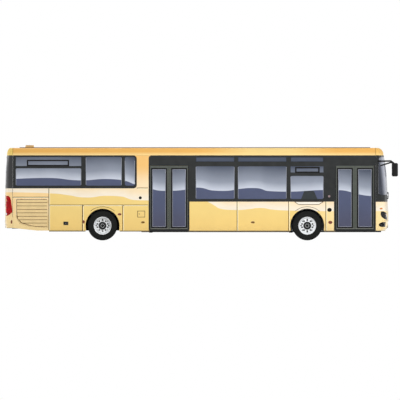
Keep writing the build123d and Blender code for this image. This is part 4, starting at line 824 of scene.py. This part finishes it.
# ---------------- window details
REAR_VENT = (-5.935, -4.500, 2.522, 2.740, 0.046)
FRONT_VENT = (front(3.176), front(2.337), 2.290, 2.500, 0.052)
TOP_PANES = [("a", WINDOW_A_X0, WINDOW_A_X1), ("b", WINDOW_B_X0, WINDOW_B_X1)]
TOP_PANES += [("c", WINDOW_C_X0, front(2.211))]
# black print at the foot of the foremost pane, X and Z
PRINT = [(3.371, 1.360), (3.494, 1.683), (3.827, 1.683), (3.963, 1.360)]
# handles of the tilting vents: X, Z
HANDLES = [(-5.55, 2.60), (-4.90, 2.60)]
HANDLES += [((WINDOW_A_X0 + WINDOW_A_X1) / 2, 2.70), ((WINDOW_B_X0 + WINDOW_B_X1) / 2, 2.70)]
for side, hand in SIDES:
    # raised thin frames on the glass: name, X range, Z range, width
    vents = [("rear", *REAR_VENT), ("low", *FRONT_VENT)]
    vents += [(label, x0 + 0.004, x1 - 0.004, 2.676, 2.831, 0.008) for label, x0, x1 in TOP_PANES]
    for label, *row in vents:
        side_frame(f"vent_{label}_{hand}", "rubber", *row, *wall(side, -0.003, 0.003))
    mesh = bmesh.new()
    put_prism(mesh, lambda y: [(x, y, z) for x, z in PRINT], *wall(side, -0.005, -0.003))
    piece(f"pane_print_{hand}", mesh, "print_black", smooth=False)
    rows = [(x - 0.05, x + 0.05, *wall(side, -0.05, -0.012), z, z + 0.018) for x, z in HANDLES]
    boxes(f"vent_handles_{hand}", "lining_dark", rows, 0.004)

# ---------------- doorways
# leaf, its jamb's X, way it points from there
LEAVES = [
    ("mid_rear", MID_DOOR_X - DOOR_HALF, 1),
    ("mid_fore", MID_DOOR_X + DOOR_HALF, -1),
    ("front_rear", FRONT_DOOR_X - DOOR_HALF, 1),
    ("front_fore", FRONT_DOOR_X + DOOR_HALF, -1),
]
LEAF_LOW = 0.389
LEAF_HIGH = 2.539
LEAF_FACE = -HALF
RAIL_LOW = 0.86
RAIL_HIGH = 1.66
RAIL_Y = LEAF_FACE + 0.078
for name, jamb, way in LEAVES:
    leaf = f"leaf_{name}"
    row = (jamb, jamb + way * 0.014, LEAF_FACE + 0.003, LEAF_FACE + 0.017, LEAF_LOW, LEAF_HIGH)
    boxes(f"jamb_seal_{name}", "rubber", [row], 0.002)
    # dark band round the pane, and inside it a pale strip painted as a highlight on the pane's edge
    x0, x1 = sorted((jamb + way * 0.095, jamb + way * 0.545))
    row = (x0 - 0.048, x1 + 0.048, 0.412, 2.464, 0.050, LEAF_FACE + 0.0003, LEAF_FACE + 0.0045)
    side_frame(f"leaf_band_{name}", "rubber", *row, leaf)
    row = (x0 + 0.002, x1 - 0.002, 0.462, 2.414, 0.012, LEAF_FACE + 0.0010, LEAF_FACE + 0.0060)
    side_frame(f"leaf_pane_highlight_{name}", "glass_edge", *row, leaf)
    # light kick strip at the leaf's foot and the soft meeting edge
    edge = jamb + way * 0.657
    row = (jamb + way * 0.032, edge - way * 0.012, LEAF_FACE + 0.0005, LEAF_FACE + 0.0025, 0.391, 0.410)
    boxes(f"kick_strip_{name}", "door_bead", [row], 0.0006, leaf)
    row = (edge, edge + way * 0.0022, LEAF_FACE + 0.006, LEAF_FACE + 0.034, LEAF_LOW + 0.005, LEAF_HIGH - 0.005)
    boxes(f"meeting_edge_{name}", "rubber", [row], 0.0008, leaf)
    # grab rail on the inner face
    x = jamb + way * 0.600
    rows = [((x, RAIL_Y, RAIL_LOW), (x, RAIL_Y, RAIL_HIGH), 0.012, 14)]
    for z in (RAIL_LOW, RAIL_HIGH):
        rows.append(((x, RAIL_Y - 0.041, z), (x, RAIL_Y + 0.001, z), 0.010, 12))
        rows.append(((x, RAIL_Y - 0.040, z), (x, RAIL_Y - 0.036, z), 0.020, 16))
    rods(f"leaf_rail_{name}", "pole_paint", rows, leaf)
for label, middle in (("mid", MID_DOOR_X), ("front", FRONT_DOOR_X)):
    # tread edges of the doorway, the lamp over it, and the release button outside
    x0, x1 = middle - DOOR_HALF, middle + DOOR_HALF
    rows = [(x0 + 0.004, x1 - 0.004, -HALF + 0.020, -HALF + 0.055, LOW_FLOOR + 0.0012, LOW_FLOOR + 0.0035)]
    rows += [(x0 + 0.004, x1 - 0.004, -HALF + 0.066, -HALF + 0.120, LOW_FLOOR + 0.0002, LOW_FLOOR + 0.0022)]
    boxes(f"door_tread_{label}", "pole_paint", rows, 0.0006)
    row = (x0 + 0.30, x1 - 0.30, -HALF + 0.150, -HALF + 0.210, 2.594, 2.601)
    boxes(f"door_lamp_{label}", "clear_lens", [row], 0.002)
    row = (x0 - 0.030, x0 - 0.006, -HALF - 0.004, -HALF + 0.003, 1.30, 1.36)
    boxes(f"door_button_{label}", "lining_dark", [row], 0.002)

# ---------------- nose and tail
AHEAD = 9.0
BEHIND = -9.0


def tree_of(*names):
    """Ray-casting trees of some nodes."""
    made = []
    for name in names:
        data = nodes[name].data
        made.append(BVHTree.FromPolygons([v.co for v in data.vertices], [p.vertices for p in data.polygons]))
    return made


nose_trees = tree_of("front_mask", "nose_frame", "windscreen", "headlamps")
tail_trees = tree_of("rear_mask", "tail_frame", "fixed_windows", "engine_lid", "tail_lamps")
head_trees = tree_of("headlamps")
lamp_trees = tree_of("tail_lamps")
roof_trees = tree_of("roof")


def hit(trees, start, way):
    """First place that a ray meets from outside, with its normal turned back to the ray."""
    best = None
    way = Vector(way)
    for one in trees:
        place, normal, _, distance = one.ray_cast(Vector(start), way)
        if place and (best is None or distance < best[2]):
            best = (place, normal, distance)
    if best is None:
        return None
    return best[0], -best[1] if best[1].dot(way) > 0 else best[1]


def hit_end(trees, end, y, z):
    """What a ray along the bus meets, from ahead of it or from behind."""
    return hit(trees, (end, y, z), (-1 if end > 0 else 1, 0, 0))


def layered(mesh, found, proud, thick):
    """Ring of four vertices from two hits: a strip's section, proud of the surface and sunk in it."""
    (a, a_up), (b, b_up) = found
    spots = (a - a_up * thick, a + a_up * proud, b + b_up * proud, b - b_up * thick)
    return [mesh.verts.new(spot) for spot in spots]


def laid_strip(name, start, end, steps, width, proud, finish, trees, from_x, body=BODY):
    """Thin strip laid on the nose or the tail between two (y, z) places."""
    start, end = Vector(start), Vector(end)
    along = (end - start).normalized()
    aside = Vector((-along.y, along.x)) * width / 2
    mesh = bmesh.new()
    rings = []
    for k in range(steps + 1):
        place = start.lerp(end, k / steps)
        found = [hit_end(trees, from_x, *(place + aside * sign)) for sign in (-1, 1)]
        if all(found):
            rings.append(layered(mesh, found, proud, 0.004))
    join_rings(mesh, rings)
    return piece(name, mesh, finish, body)


NOSE = (nose_trees, AHEAD)
TAIL = (tail_trees, BEHIND)
# name, ends in Y, height, steps, width, proud, finish, where
STRIPS = [
    ("nose_crease_top", -1.20, 1.20, 1.235, 48, 0.012, 0.001, "body_paint", NOSE),
    ("bumper_joint", -1.21, 1.21, 0.668, 48, 0.008, 0.002, "rubber", NOSE),
    ("bumper_strip_rear", -1.20, 1.20, 0.545, 40, 0.008, 0.0006, "rubber", TAIL),
    ("high_brake_light", -0.22, 0.22, 2.83, 12, 0.030, 0.006, "lamp_red", TAIL),
    ("front_marker_a", -1.02, -0.94, 2.865, 4, 0.022, 0.006, "clear_lens", NOSE),
    ("front_marker_b", 0.94, 1.02, 2.865, 4, 0.022, 0.006, "clear_lens", NOSE),
]
for name, y0, y1, z, steps, width, proud, finish, where in STRIPS:
    laid_strip(name, (y0, z), (y1, z), steps, width, proud, finish, *where)
for side, hand in SIDES:
    ends = ((side * 0.86, 0.95), (side * 0.98, 1.300))
    laid_strip(f"bonnet_joint_{hand}", *ends, 12, 0.006, 0.0006, "rubber", *NOSE)

# intake mesh behind the bumper's slot
INTAKE_BARS = 30
rows = [(front(0.110), front(0.104), -0.47, 0.47, 0.545, 0.655)]
for k in range(INTAKE_BARS):
    y = -0.45 + 0.9 * k / (INTAKE_BARS - 1)
    rows.append((front(0.098), front(0.088), y - 0.0025, y + 0.0025, 0.552, 0.648))
rows += [(front(0.100), front(0.086), -0.452, 0.452, z - 0.003, z + 0.003) for z in (0.575, 0.600, 0.625)]
boxes("bumper_intake", "black_trim", rows)

# blank number plates on their holders
for name, z, (trees, end) in (("plate_front", 0.49, NOSE), ("plate_rear", 0.50, TAIL)):
    x = hit_end(trees, end, 0.0, z)[0].x
    out = math.copysign(1, end)
    boxes(name, "plate", [(x - out * 0.012, x + out * 0.006, -0.26, 0.26, z - 0.055, z + 0.055)], 0.003)
    row = (x - out * 0.012, x + out * 0.003, -0.272, 0.272, z - 0.067, z + 0.067)
    boxes(f"{name}_holder", "black_trim", [row], 0.004)


def round_light(name, y, z, radius, finish, trees, end):
    """Bright ring and lens on a lamp's cover."""
    found = hit_end(trees, end, y, z)
    if not found:
        return
    place, normal = found
    turn = normal.to_track_quat("Z", "Y").to_matrix().to_4x4()
    for label, height, foot, head, size, look in (
        ("", -0.0005, radius, radius * 0.93, 0.008, "chrome"),
        ("_lens", 0.0035, radius * 0.82, radius * 0.70, 0.006, finish),
    ):
        mesh = bmesh.new()
        put_cone(mesh, foot, head, size, Matrix.Translation(place + normal * height) @ turn, 40)
        piece(f"{name}{label}", mesh, look)


# name, Y, Z, radius, finish
HEAD_LIGHTS = [("dipped_beam", 0.960, 0.835, 0.056, "clear_lens"), ("turn_light", 1.035, 0.880, 0.026, "amber")]
HEAD_LIGHTS += [("main_beam", 0.825, 0.775, 0.046, "clear_lens")]
REAR_LIGHTS = [("turn", 1.36, "amber"), ("brake", 1.20, "lamp_red"), ("tail", 1.04, "lamp_red")]
REAR_LIGHTS += [("reverse", 0.90, "clear_lens")]
for side, hand in SIDES:
    for label, y, z, radius, finish in HEAD_LIGHTS:
        round_light(f"{label}_{hand}", side * y, z, radius, finish, head_trees, AHEAD)
    for label, z, finish in REAR_LIGHTS:
        round_light(f"rear_light_{label}_{hand}", side * 1.130, z, 0.052, finish, lamp_trees, BEHIND)


def over_screen(start, reach, rise, steps, off):
    """Line over the windscreen from a (y, z) place, off its surface."""
    line = []
    for k in range(steps + 1):
        found = hit_end(nose_trees, AHEAD, start[0] + reach * k / steps, start[1] + rise * k / steps)
        if found:
            line.append(found[0] + Vector((off, 0, 0)))
    return line


# wipers, parked along the screen's foot
WIPER_Y = 0.42
for side, hand in SIDES:
    pivot = hit_end(nose_trees, AHEAD, side * WIPER_Y, 1.43)[0]
    mesh = bmesh.new()
    put_rod(mesh, pivot - Vector((0.010, 0, 0)), pivot + Vector((0.045, 0, 0)), 0.022, 20)
    put_chain(mesh, over_screen((side * WIPER_Y, 1.44), 0.72, 0.20, 24, 0.036), 0.009, 8)
    piece(f"wiper_arm_{hand}", mesh, "black_trim")
    mesh = bmesh.new()
    line = over_screen((side * WIPER_Y + 0.22, 1.575), 0.80, 0.075, 32, 0.012)
    put_chain(mesh, line, 0.008, 8)
    put_chain(mesh, [spot + Vector((0.014, 0, 0)) for spot in line], 0.005, 6)
    piece(f"wiper_blade_{hand}", mesh, "rubber")

# engine lid: louvres drawn as dark strips in painted shade, and handle
for k in range(11):
    z = 1.14 + 0.038 * k
    laid_strip(f"lid_louvre_shade_{k}", (-0.62, z), (0.62, z), 20, 0.020, 0.004, "grille_shade", *TAIL, "engine_lid")
lid_x = hit_end(tail_trees, BEHIND, 0.0, 1.2)[0].x
row = (lid_x - 0.010, lid_x + 0.012, -0.13, 0.13, 0.640, 0.668)
boxes("lid_handle", "black_trim", [row], 0.004, "engine_lid")

# ---------------- mirrors' glass, sleeves over their arms
MIRROR_X = NOSE_X + 0.114
MIRROR_Y = 1.38
for side, hand in SIDES:
    for label, z0, z1 in (("main", 2.31, 2.58), ("wide", 2.19, 2.29)):
        row = (MIRROR_X - 0.0045, MIRROR_X + 0.002, side * MIRROR_Y - 0.070, side * MIRROR_Y + 0.070, z0, z1)
        boxes(f"mirror_{label}_{hand}", "mirror_face", [row], 0.002)
for side, hand in SIDES:
    bend = (NOSE_X + 0.080, side * 1.350, 2.700)
    lower = (NOSE_X + 0.080, side * 1.350, 2.650)
    head = (NOSE_X + 0.190, side * 1.360, 2.618)
    mesh = bmesh.new()
    put_chain(mesh, [(front(0.400), side * 1.242, 2.690), bend, head], 0.028, 16)
    put_chain(mesh, [(front(0.280), side * 1.198, 2.538), lower, head], 0.025, 16)
    for spot in (bend, lower):
        place = Matrix.Translation(spot)
        bmesh.ops.create_uvsphere(mesh, u_segments=16, v_segments=10, radius=0.030, matrix=place)
    piece(f"mirror_sleeves_{hand}", mesh, "rubber")


# ---------------- roof joints, hatches and vent
def roof_line(name, x, width=0.008, steps=60):
    """Thin joint across the roof, from one edge over the top to the other."""
    mesh = bmesh.new()
    rings = []
    for k in range(steps + 1):
        angle = math.pi * k / steps
        y, z = 1.6 * math.cos(angle), 2.9 + 0.6 * math.sin(angle)
        inward = Vector((0, -y, 2.75 - z if abs(y) < 1.2 else 2.96 - z)).normalized()
        found = [hit(roof_trees, (x + sign * width / 2, y, z), inward) for sign in (-1, 1)]
        if all(found):
            rings.append(layered(mesh, found, 0.0025, 0.004))
    join_rings(mesh, rings, caps=False)
    return piece(name, mesh, "roof_joint")


roof_line("roof_joint_front", front(0.440))
roof_line("roof_joint_rear", rear(0.270))
for k, x in enumerate((rear(4.7), rear(9.2))):
    boxes(f"roof_hatch_{k}", "vent_paint", [(x - 0.42, x + 0.42, -0.36, 0.36, 3.143, 3.154)], 0.006)
    rows = [(x - 0.36, x + 0.36, y, y + 0.015, 3.1505, 3.1565) for y in (-0.30, 0.285)]
    rows += [(a, a + 0.015, -0.285, 0.285, 3.1505, 3.1565) for a in (x - 0.36, x + 0.345)]
    boxes(f"roof_hatch_seal_{k}", "rubber", rows, 0.001)
slots = [rear(0.735) + 0.027 * k for k in range(9)]
boxes("roof_vent_slots", "rubber", [(x, x + 0.008, -0.33, 0.33, 3.222, 3.2405) for x in slots], 0.001)

# ---------------- under the floor
GEARBOX = (rear(1.66), 0, 0.55)
shaft = [(GEARBOX, (REAR_AXLE_X - 0.15, 0, 0.505), 0.045, 20), (GEARBOX, (rear(1.78), 0, 0.545), 0.085, 20)]
rods("prop_shaft", "cast_parts", shaft)
silencer = [((rear(0.42), 0.45, 0.53), (rear(1.55), 0.45, 0.53), 0.115, 28)]
silencer += [((rear(0.42), 0.45, 0.50), (rear(0.14), 0.45, 0.47), 0.040, 18)]
rods("exhaust", "steel", silencer)
rods("air_tanks", "chassis", [((rear(1.85), y, 0.56), (rear(2.66), y, 0.56), 0.10, 32) for y in (-0.42, 0.42)])
pipes = [((rear(4.9), y, 0.312), (front(3.3), y, 0.312), r, 8) for y, r in ((0.50, 0.012), (0.53, 0.009))]
rods("brake_pipes", "rubber", pipes)
FLAP_BEHIND = 0.571
for side, hand in SIDES:
    for (label, axle_x), inner in zip(AXLES, (0.83, 0.62)):
        x = axle_x - FLAP_BEHIND
        row = (x - 0.004, x + 0.004, side * inner, side * 1.21, 0.337, 0.52)
        boxes(f"mud_flap_{label}_{hand}", "rubber", [row], 0.001)


# ---------------- cabin
def islands(obj):
    """Boxes of the separate solids in a node."""
    mesh = bmesh.new()
    mesh.from_mesh(obj.data)
    bmesh.ops.remove_doubles(mesh, verts=mesh.verts, dist=1e-5)
    left = set(mesh.verts)
    found = []
    while left:
        stack = [left.pop()]
        group = []
        while stack:
            v = stack.pop()
            group.append(v.co.copy())
            for e in v.link_edges:
                other = e.other_vert(v)
                if other in left:
                    left.remove(other)
                    stack.append(other)
        low, high = (Vector([end(c[i] for c in group) for i in range(3)]) for end in (min, max))
        found.append((low, high))
    mesh.free()
    return sorted(found, key=lambda b: (round(b[0].x, 3), round(b[0].y, 3)))


def cushion(mesh, middle, size, turn=None, crown=0.012, grid=6):
    """Adds a crowned, rounded pad to a bmesh."""
    verts = {}
    for i in range(grid + 1):
        for j in range(grid + 1):
            u, w = i / grid * 2 - 1, j / grid * 2 - 1
            swell = (1 - u**4) * (1 - w**4)
            for face in (0, 1):
                x = u * size.x / 2 * (1 - 0.02 * w * w)
                y = w * size.y / 2 * (1 - 0.02 * u * u)
                z = size.z / 2 * (0.62 + 0.38 * swell) + crown * swell if face else -size.z / 2
                spot = Vector((x, y, z))
                verts[i, j, face] = mesh.verts.new((turn @ spot if turn else spot) + middle)
    for i in range(grid):
        for j in range(grid):
            for face in (0, 1):
                mesh.faces.new([verts[a, b, face] for a, b in ((i, j), (i + 1, j), (i + 1, j + 1), (i, j + 1))])
    rim = [(i, 0) for i in range(grid)] + [(grid, j) for j in range(grid)]
    rim += [(i, grid) for i in range(grid, 0, -1)] + [(0, j) for j in range(grid, 0, -1)]
    for a, b in zip(rim, rim[1:] + rim[:1]):
        mesh.faces.new((verts[(*a, 0)], verts[(*b, 0)], verts[(*b, 1)], verts[(*a, 1)]))


SEAT_HEIGHT = 0.640
mesh = bmesh.new()
grips = []
lean = Matrix.Rotation(math.radians(-80.5), 3, "Y")
for low, high in islands(nodes["seats"]) + islands(nodes["driver_seat"]):
    base = high.z - SEAT_HEIGHT
    foot_x = low.x + 0.090
    y = (low.y + high.y) / 2
    width = high.y - low.y - 0.032
    cushion(mesh, Vector((foot_x + 0.2555, y, base + 0.074)), Vector((0.361, width, 0.048)))
    cushion(mesh, Vector((foot_x + 0.020, y, base + 0.345)), Vector((0.510, width, 0.040)), lean)
    top_x = foot_x - 0.068
    y0, y1 = low.y + 0.05, high.y - 0.05
    grips.append(((top_x, y0, high.z + 0.035), (top_x, y1, high.z + 0.035), 0.011, 10))
    grips += [((top_x, y, high.z - 0.010), (top_x, y, high.z + 0.036), 0.011, 10) for y in (y0, y1)]
pads = piece("seat_pads", mesh, "seat_fabric")
rods("seat_grips", "pole_paint", grips)

# ceiling panel, lamps and air ducts
boxes("ceiling_panel", "lining", [(rear(0.60), front(0.75), -0.95, 0.95, 3.060, 3.066)])
rows = [(rear(0.9), front(1.1), side * 0.62, side * 0.70, 3.048, 3.0605) for side in (-1, 1)]
boxes("ceiling_lamps", "clear_lens", rows, 0.003)
DUCT = [(1.208, 2.86), (1.208, 3.05), (0.98, 3.05), (1.10, 2.90)]
# the right one leaves room over the doorways
DUCT_RUNS = [(-1, rear(0.45), rear(4.82)), (-1, rear(6.38), front(2.0)), (1, rear(0.45), front(0.75))]
mesh = bmesh.new()
for side, *ends in DUCT_RUNS:
    put_prism(mesh, lambda x: [(x, side * y, z) for y, z in DUCT], *ends)
piece("air_ducts", mesh, "lining")

# straps on the rails, stop buttons on the poles
mesh = bmesh.new()
for side in (-1, 1):
    for k in range(12):
        x, y = rear(4.6) + 0.42 * k, side * 0.310
        put_box(mesh, (x - 0.014, y - 0.021, 2.395), (x + 0.014, y + 0.021, 2.442), 0.004)
        put_box(mesh, (x - 0.002, y - 0.015, 2.245), (x + 0.002, y + 0.015, 2.398))
        put_rod(mesh, (x, y - 0.060, 2.236), (x, y + 0.060, 2.236), 0.011, 10)
piece("hand_straps", mesh, "lining_dark")
POLES = [(rear(1.25), -0.31, 1.6), (rear(2.64), 0.31, 1.9), (WINDOW_A_X1, -0.31, 1.55)]
POLES += [(WINDOW_A_X1, 0.31, 1.55), (WINDOW_B_X0 + 0.96, -0.31, 1.55)]
rows = [(x - 0.022, x + 0.022, y - 0.026, y + 0.026, z, z + 0.11) for x, y, z in POLES]
boxes("stop_buttons", "lamp_red", rows, 0.006)

# driver's place: instruments, ticket machine, pedals, switches, inner mirror, partition glass
boxes("instrument_screen", "glass_dark", [(front(0.600), front(0.585), 0.52, 0.92, 1.252, 1.330)], 0.004)
rows = [(front(1.02), front(0.80), 0.262, 0.40, 1.252, 1.42, 0.012)]
rows += [(front(0.99), front(0.83), 0.250, 0.264, 1.30, 1.40, 0.004)]
boxes("ticket_machine", "lining_dark", rows)
cab_floor = LOW_FLOOR + 0.180
rows = []
for y, half in ((0.60, 0.045), (0.82, 0.04)):
    rows.append((front(0.640), front(0.600), y - half, y + half, cab_floor + 0.004, cab_floor + 0.20))
boxes("pedals", "rubber", rows, 0.006)
places = [0.98 + 0.018 * k for k in range(8)]
rows = [(front(0.612), front(0.590), y - 0.006, y + 0.006, 1.252, 1.272) for y in places]
boxes("dash_switches", "black_trim", rows, 0.002)
mesh = bmesh.new()
put_rod(mesh, (front(0.60), -0.22, 2.585), (front(0.60), 0.22, 2.585), 0.018, 14)
put_box(mesh, (front(0.607), -0.12, 2.43), (front(0.592), 0.12, 2.55), 0.006)
piece("inner_mirror", mesh, "lining_dark")
boxes("cab_screen", "glass_clear", [(front(1.918), front(0.905), 0.262, 0.268, 1.251, 1.90)], 0.001)

# bright edges of the steps to the high floor
STEP = 0.165
rows = []
for k, x in enumerate((rear(4.8), rear(4.5), rear(4.2)), 1):
    top = LOW_FLOOR + STEP * k
    rows.append((x - 0.045, x + 0.003, -1.205, 1.205, top - 0.0005, top + 0.0025))
boxes("step_edges", "pole_paint", rows, 0.0008)


# ---------------- pieces laid on the curved corners
def laid_patch(name, side, rows, finish, trees, proud, least, columns):
    """Skin laid on a corner from the side, through rows of (z, rearmost x, foremost x)."""
    mesh = bmesh.new()
    full = []
    for z, x0, x1 in rows:
        line = []
        for k in range(columns + 1):
            found = hit(trees, (x0 + (x1 - x0) * k / columns, side * 2.0, z), (0, -side, 0))
            if found and abs(found[0].y) > least:
                line.append(found[0] + found[1] * proud)
        if len(line) < 2:
            continue
        # the row's hits, spread evenly again where some rays missed
        spread = []
        for k in range(columns + 1):
            t = k / columns * (len(line) - 1)
            i = min(int(t), len(line) - 2)
            spread.append(mesh.verts.new(line[i].lerp(line[i + 1], t - i)))
        full.append(spread)
    for one, two in zip(full, full[1:]):
        for k in range(columns):
            mesh.faces.new((one[k], one[k + 1], two[k + 1], two[k]))
    bmesh.ops.solidify(mesh, geom=mesh.faces[:], thickness=0.006)
    return piece(name, mesh, finish)


def oval_rows(x, z, a, b, steps=9):
    """Rows of an oval of half sizes a and b, for laid_patch."""
    rows = []
    for k in range(steps + 1):
        angle = math.pi * (0.06 + 0.88 * k / steps)
        reach = a * math.sin(angle)
        rows.append((z + b * math.cos(angle), x - reach, x + reach))
    return rows


def finer(rows, parts=5):
    """The same rows with more between them."""
    made = []
    for one, two in zip(rows, rows[1:]):
        for k in range(parts):
            made.append(tuple(a + (b - a) * k / parts for a, b in zip(one, two)))
    return made + [rows[-1]]


# height, then rear and front edge: from the tail, and in X
TAIL_LAMP = [(1.515, 0.030, 0.120), (1.470, 0.030, 0.172), (1.38, 0.030, 0.205), (1.20, 0.030, 0.232)]
TAIL_LAMP += [(1.02, 0.030, 0.252), (0.95, 0.030, 0.246), (0.89, 0.030, 0.175), (0.840, 0.030, 0.095)]
HEAD_LEAF = [(0.985, 6.114, 6.196), (0.924, 6.089, 6.247), (0.863, 6.095, 6.277), (0.803, 6.125, 6.302)]
HEAD_LEAF += [(0.742, 6.196, 6.326), (0.706, 6.271, 6.332)]
TAIL_SEAM = [(z, rear(0.255), rear(0.271)) for z in (0.40, 0.8, 1.2, 1.6, 1.765)]
TAIL_COVER = finer([(z, rear(u0), rear(u1)) for z, u0, u1 in TAIL_LAMP])
# name, rows, finish, what it lies on, how proud, least |Y|, columns
PATCHES = [
    ("lamp_surround", finer(HEAD_LEAF), "glass_dark", nose_trees, 0.005, 0.70, 16),
    ("tail_seam", TAIL_SEAM, "seam", tail_trees, 0.002, 0.98, 2),
    ("fog_light", oval_rows(6.120, 0.530, 0.088, 0.070), "rubber", nose_trees, 0.004, 0.93, 10),
    ("fog_glass", oval_rows(6.120, 0.530, 0.040, 0.034), "lining_dark", nose_trees, 0.006, 0.93, 10),
    ("nose_marker", oval_rows(6.110, 1.081, 0.046, 0.028), "marker_pale", nose_trees, 0.005, 0.93, 10),
    ("tail_cover", TAIL_COVER, "lamp_red", tail_trees, 0.005, 1.0, 10),
]
for side, hand in SIDES:
    for name, *row in PATCHES:
        laid_patch(f"{name}_{hand}", side, *row)


# ---------------- seals in the joints between the shell's panels
def seal_edges(name, keep=None, reach=0.0085, thin=0.045):
    """Dark seal standing out from the thin edges of one shell panel."""
    mesh = bmesh.new()
    data = nodes[name].data
    for face in data.polygons:
        points = [data.vertices[v].co for v in face.vertices]
        longest = max((a - b).length for a, b in zip(points, points[1:] + points[:1]))
        if 2 * face.area / longest > thin or (keep and not keep(face.center)):
            continue
        # an edge faces along its panel, neither out of the bus nor into it
        root = Vector((math.copysign(5.0, face.center.x), 0, face.center.z))
        if not -0.7 < face.normal.dot((face.center - root).normalized()) < 0.5:
            continue
        sunk = [p + (root - p).normalized() * 0.003 for p in points]
        put_prism(mesh, lambda lift: [p + face.normal * lift for p in sunk], -0.0006, reach)
    piece(f"seal_{name}", mesh, "rubber", smooth=False)


for name in ("windscreen", "nose_frame", "front_mask", "headlamps", "tail_frame", "tail_lamps"):
    seal_edges(name)
seal_edges("rear_mask", lambda c: abs(c.y) > 1.15 or c.z > 1.80)
seal_edges("roof", lambda c: c.z < 2.96)

# gutter rails along the roof, low edges and top of their section
RAIL_SECTION = ((0.700, -0.004), (0.700, 0.020), (0.740, 0.020), (0.740, -0.004))
mesh = bmesh.new()
for side in (-1, 1):
    section = []
    for y, lift in RAIL_SECTION:
        top, _ = hit(roof_trees, (0, side * y, 4.0), (0, 0, -1))
        section.append((side * y, top.z + lift))
    put_prism(mesh, lambda x: [(x, *spot) for spot in section], rear(0.50), front(0.62))
piece("roof_rails", mesh, "roof_joint", smooth=False)

# painted highlights along the upright edges of the side panes
mesh = bmesh.new()
for low, high in islands(nodes["fixed_windows"]):
    if high.x - low.x < 0.2 or high.y - low.y > 0.2 or high.z - low.z < 0.5:
        continue
    face = high.y if high.y > 0 else low.y
    y0, y1 = sorted((face - math.copysign(0.001, face), face + math.copysign(0.0008, face)))
    margin = 0.14 if abs(high.x - rear(4.46)) < 0.1 else 0.03
    for x in (low.x + 0.0125, high.x - 0.0245):
        put_box(mesh, (x, y0, low.z + margin), (x + 0.012, y1, high.z - margin))
piece("pane_edges", mesh, "glass_edge")
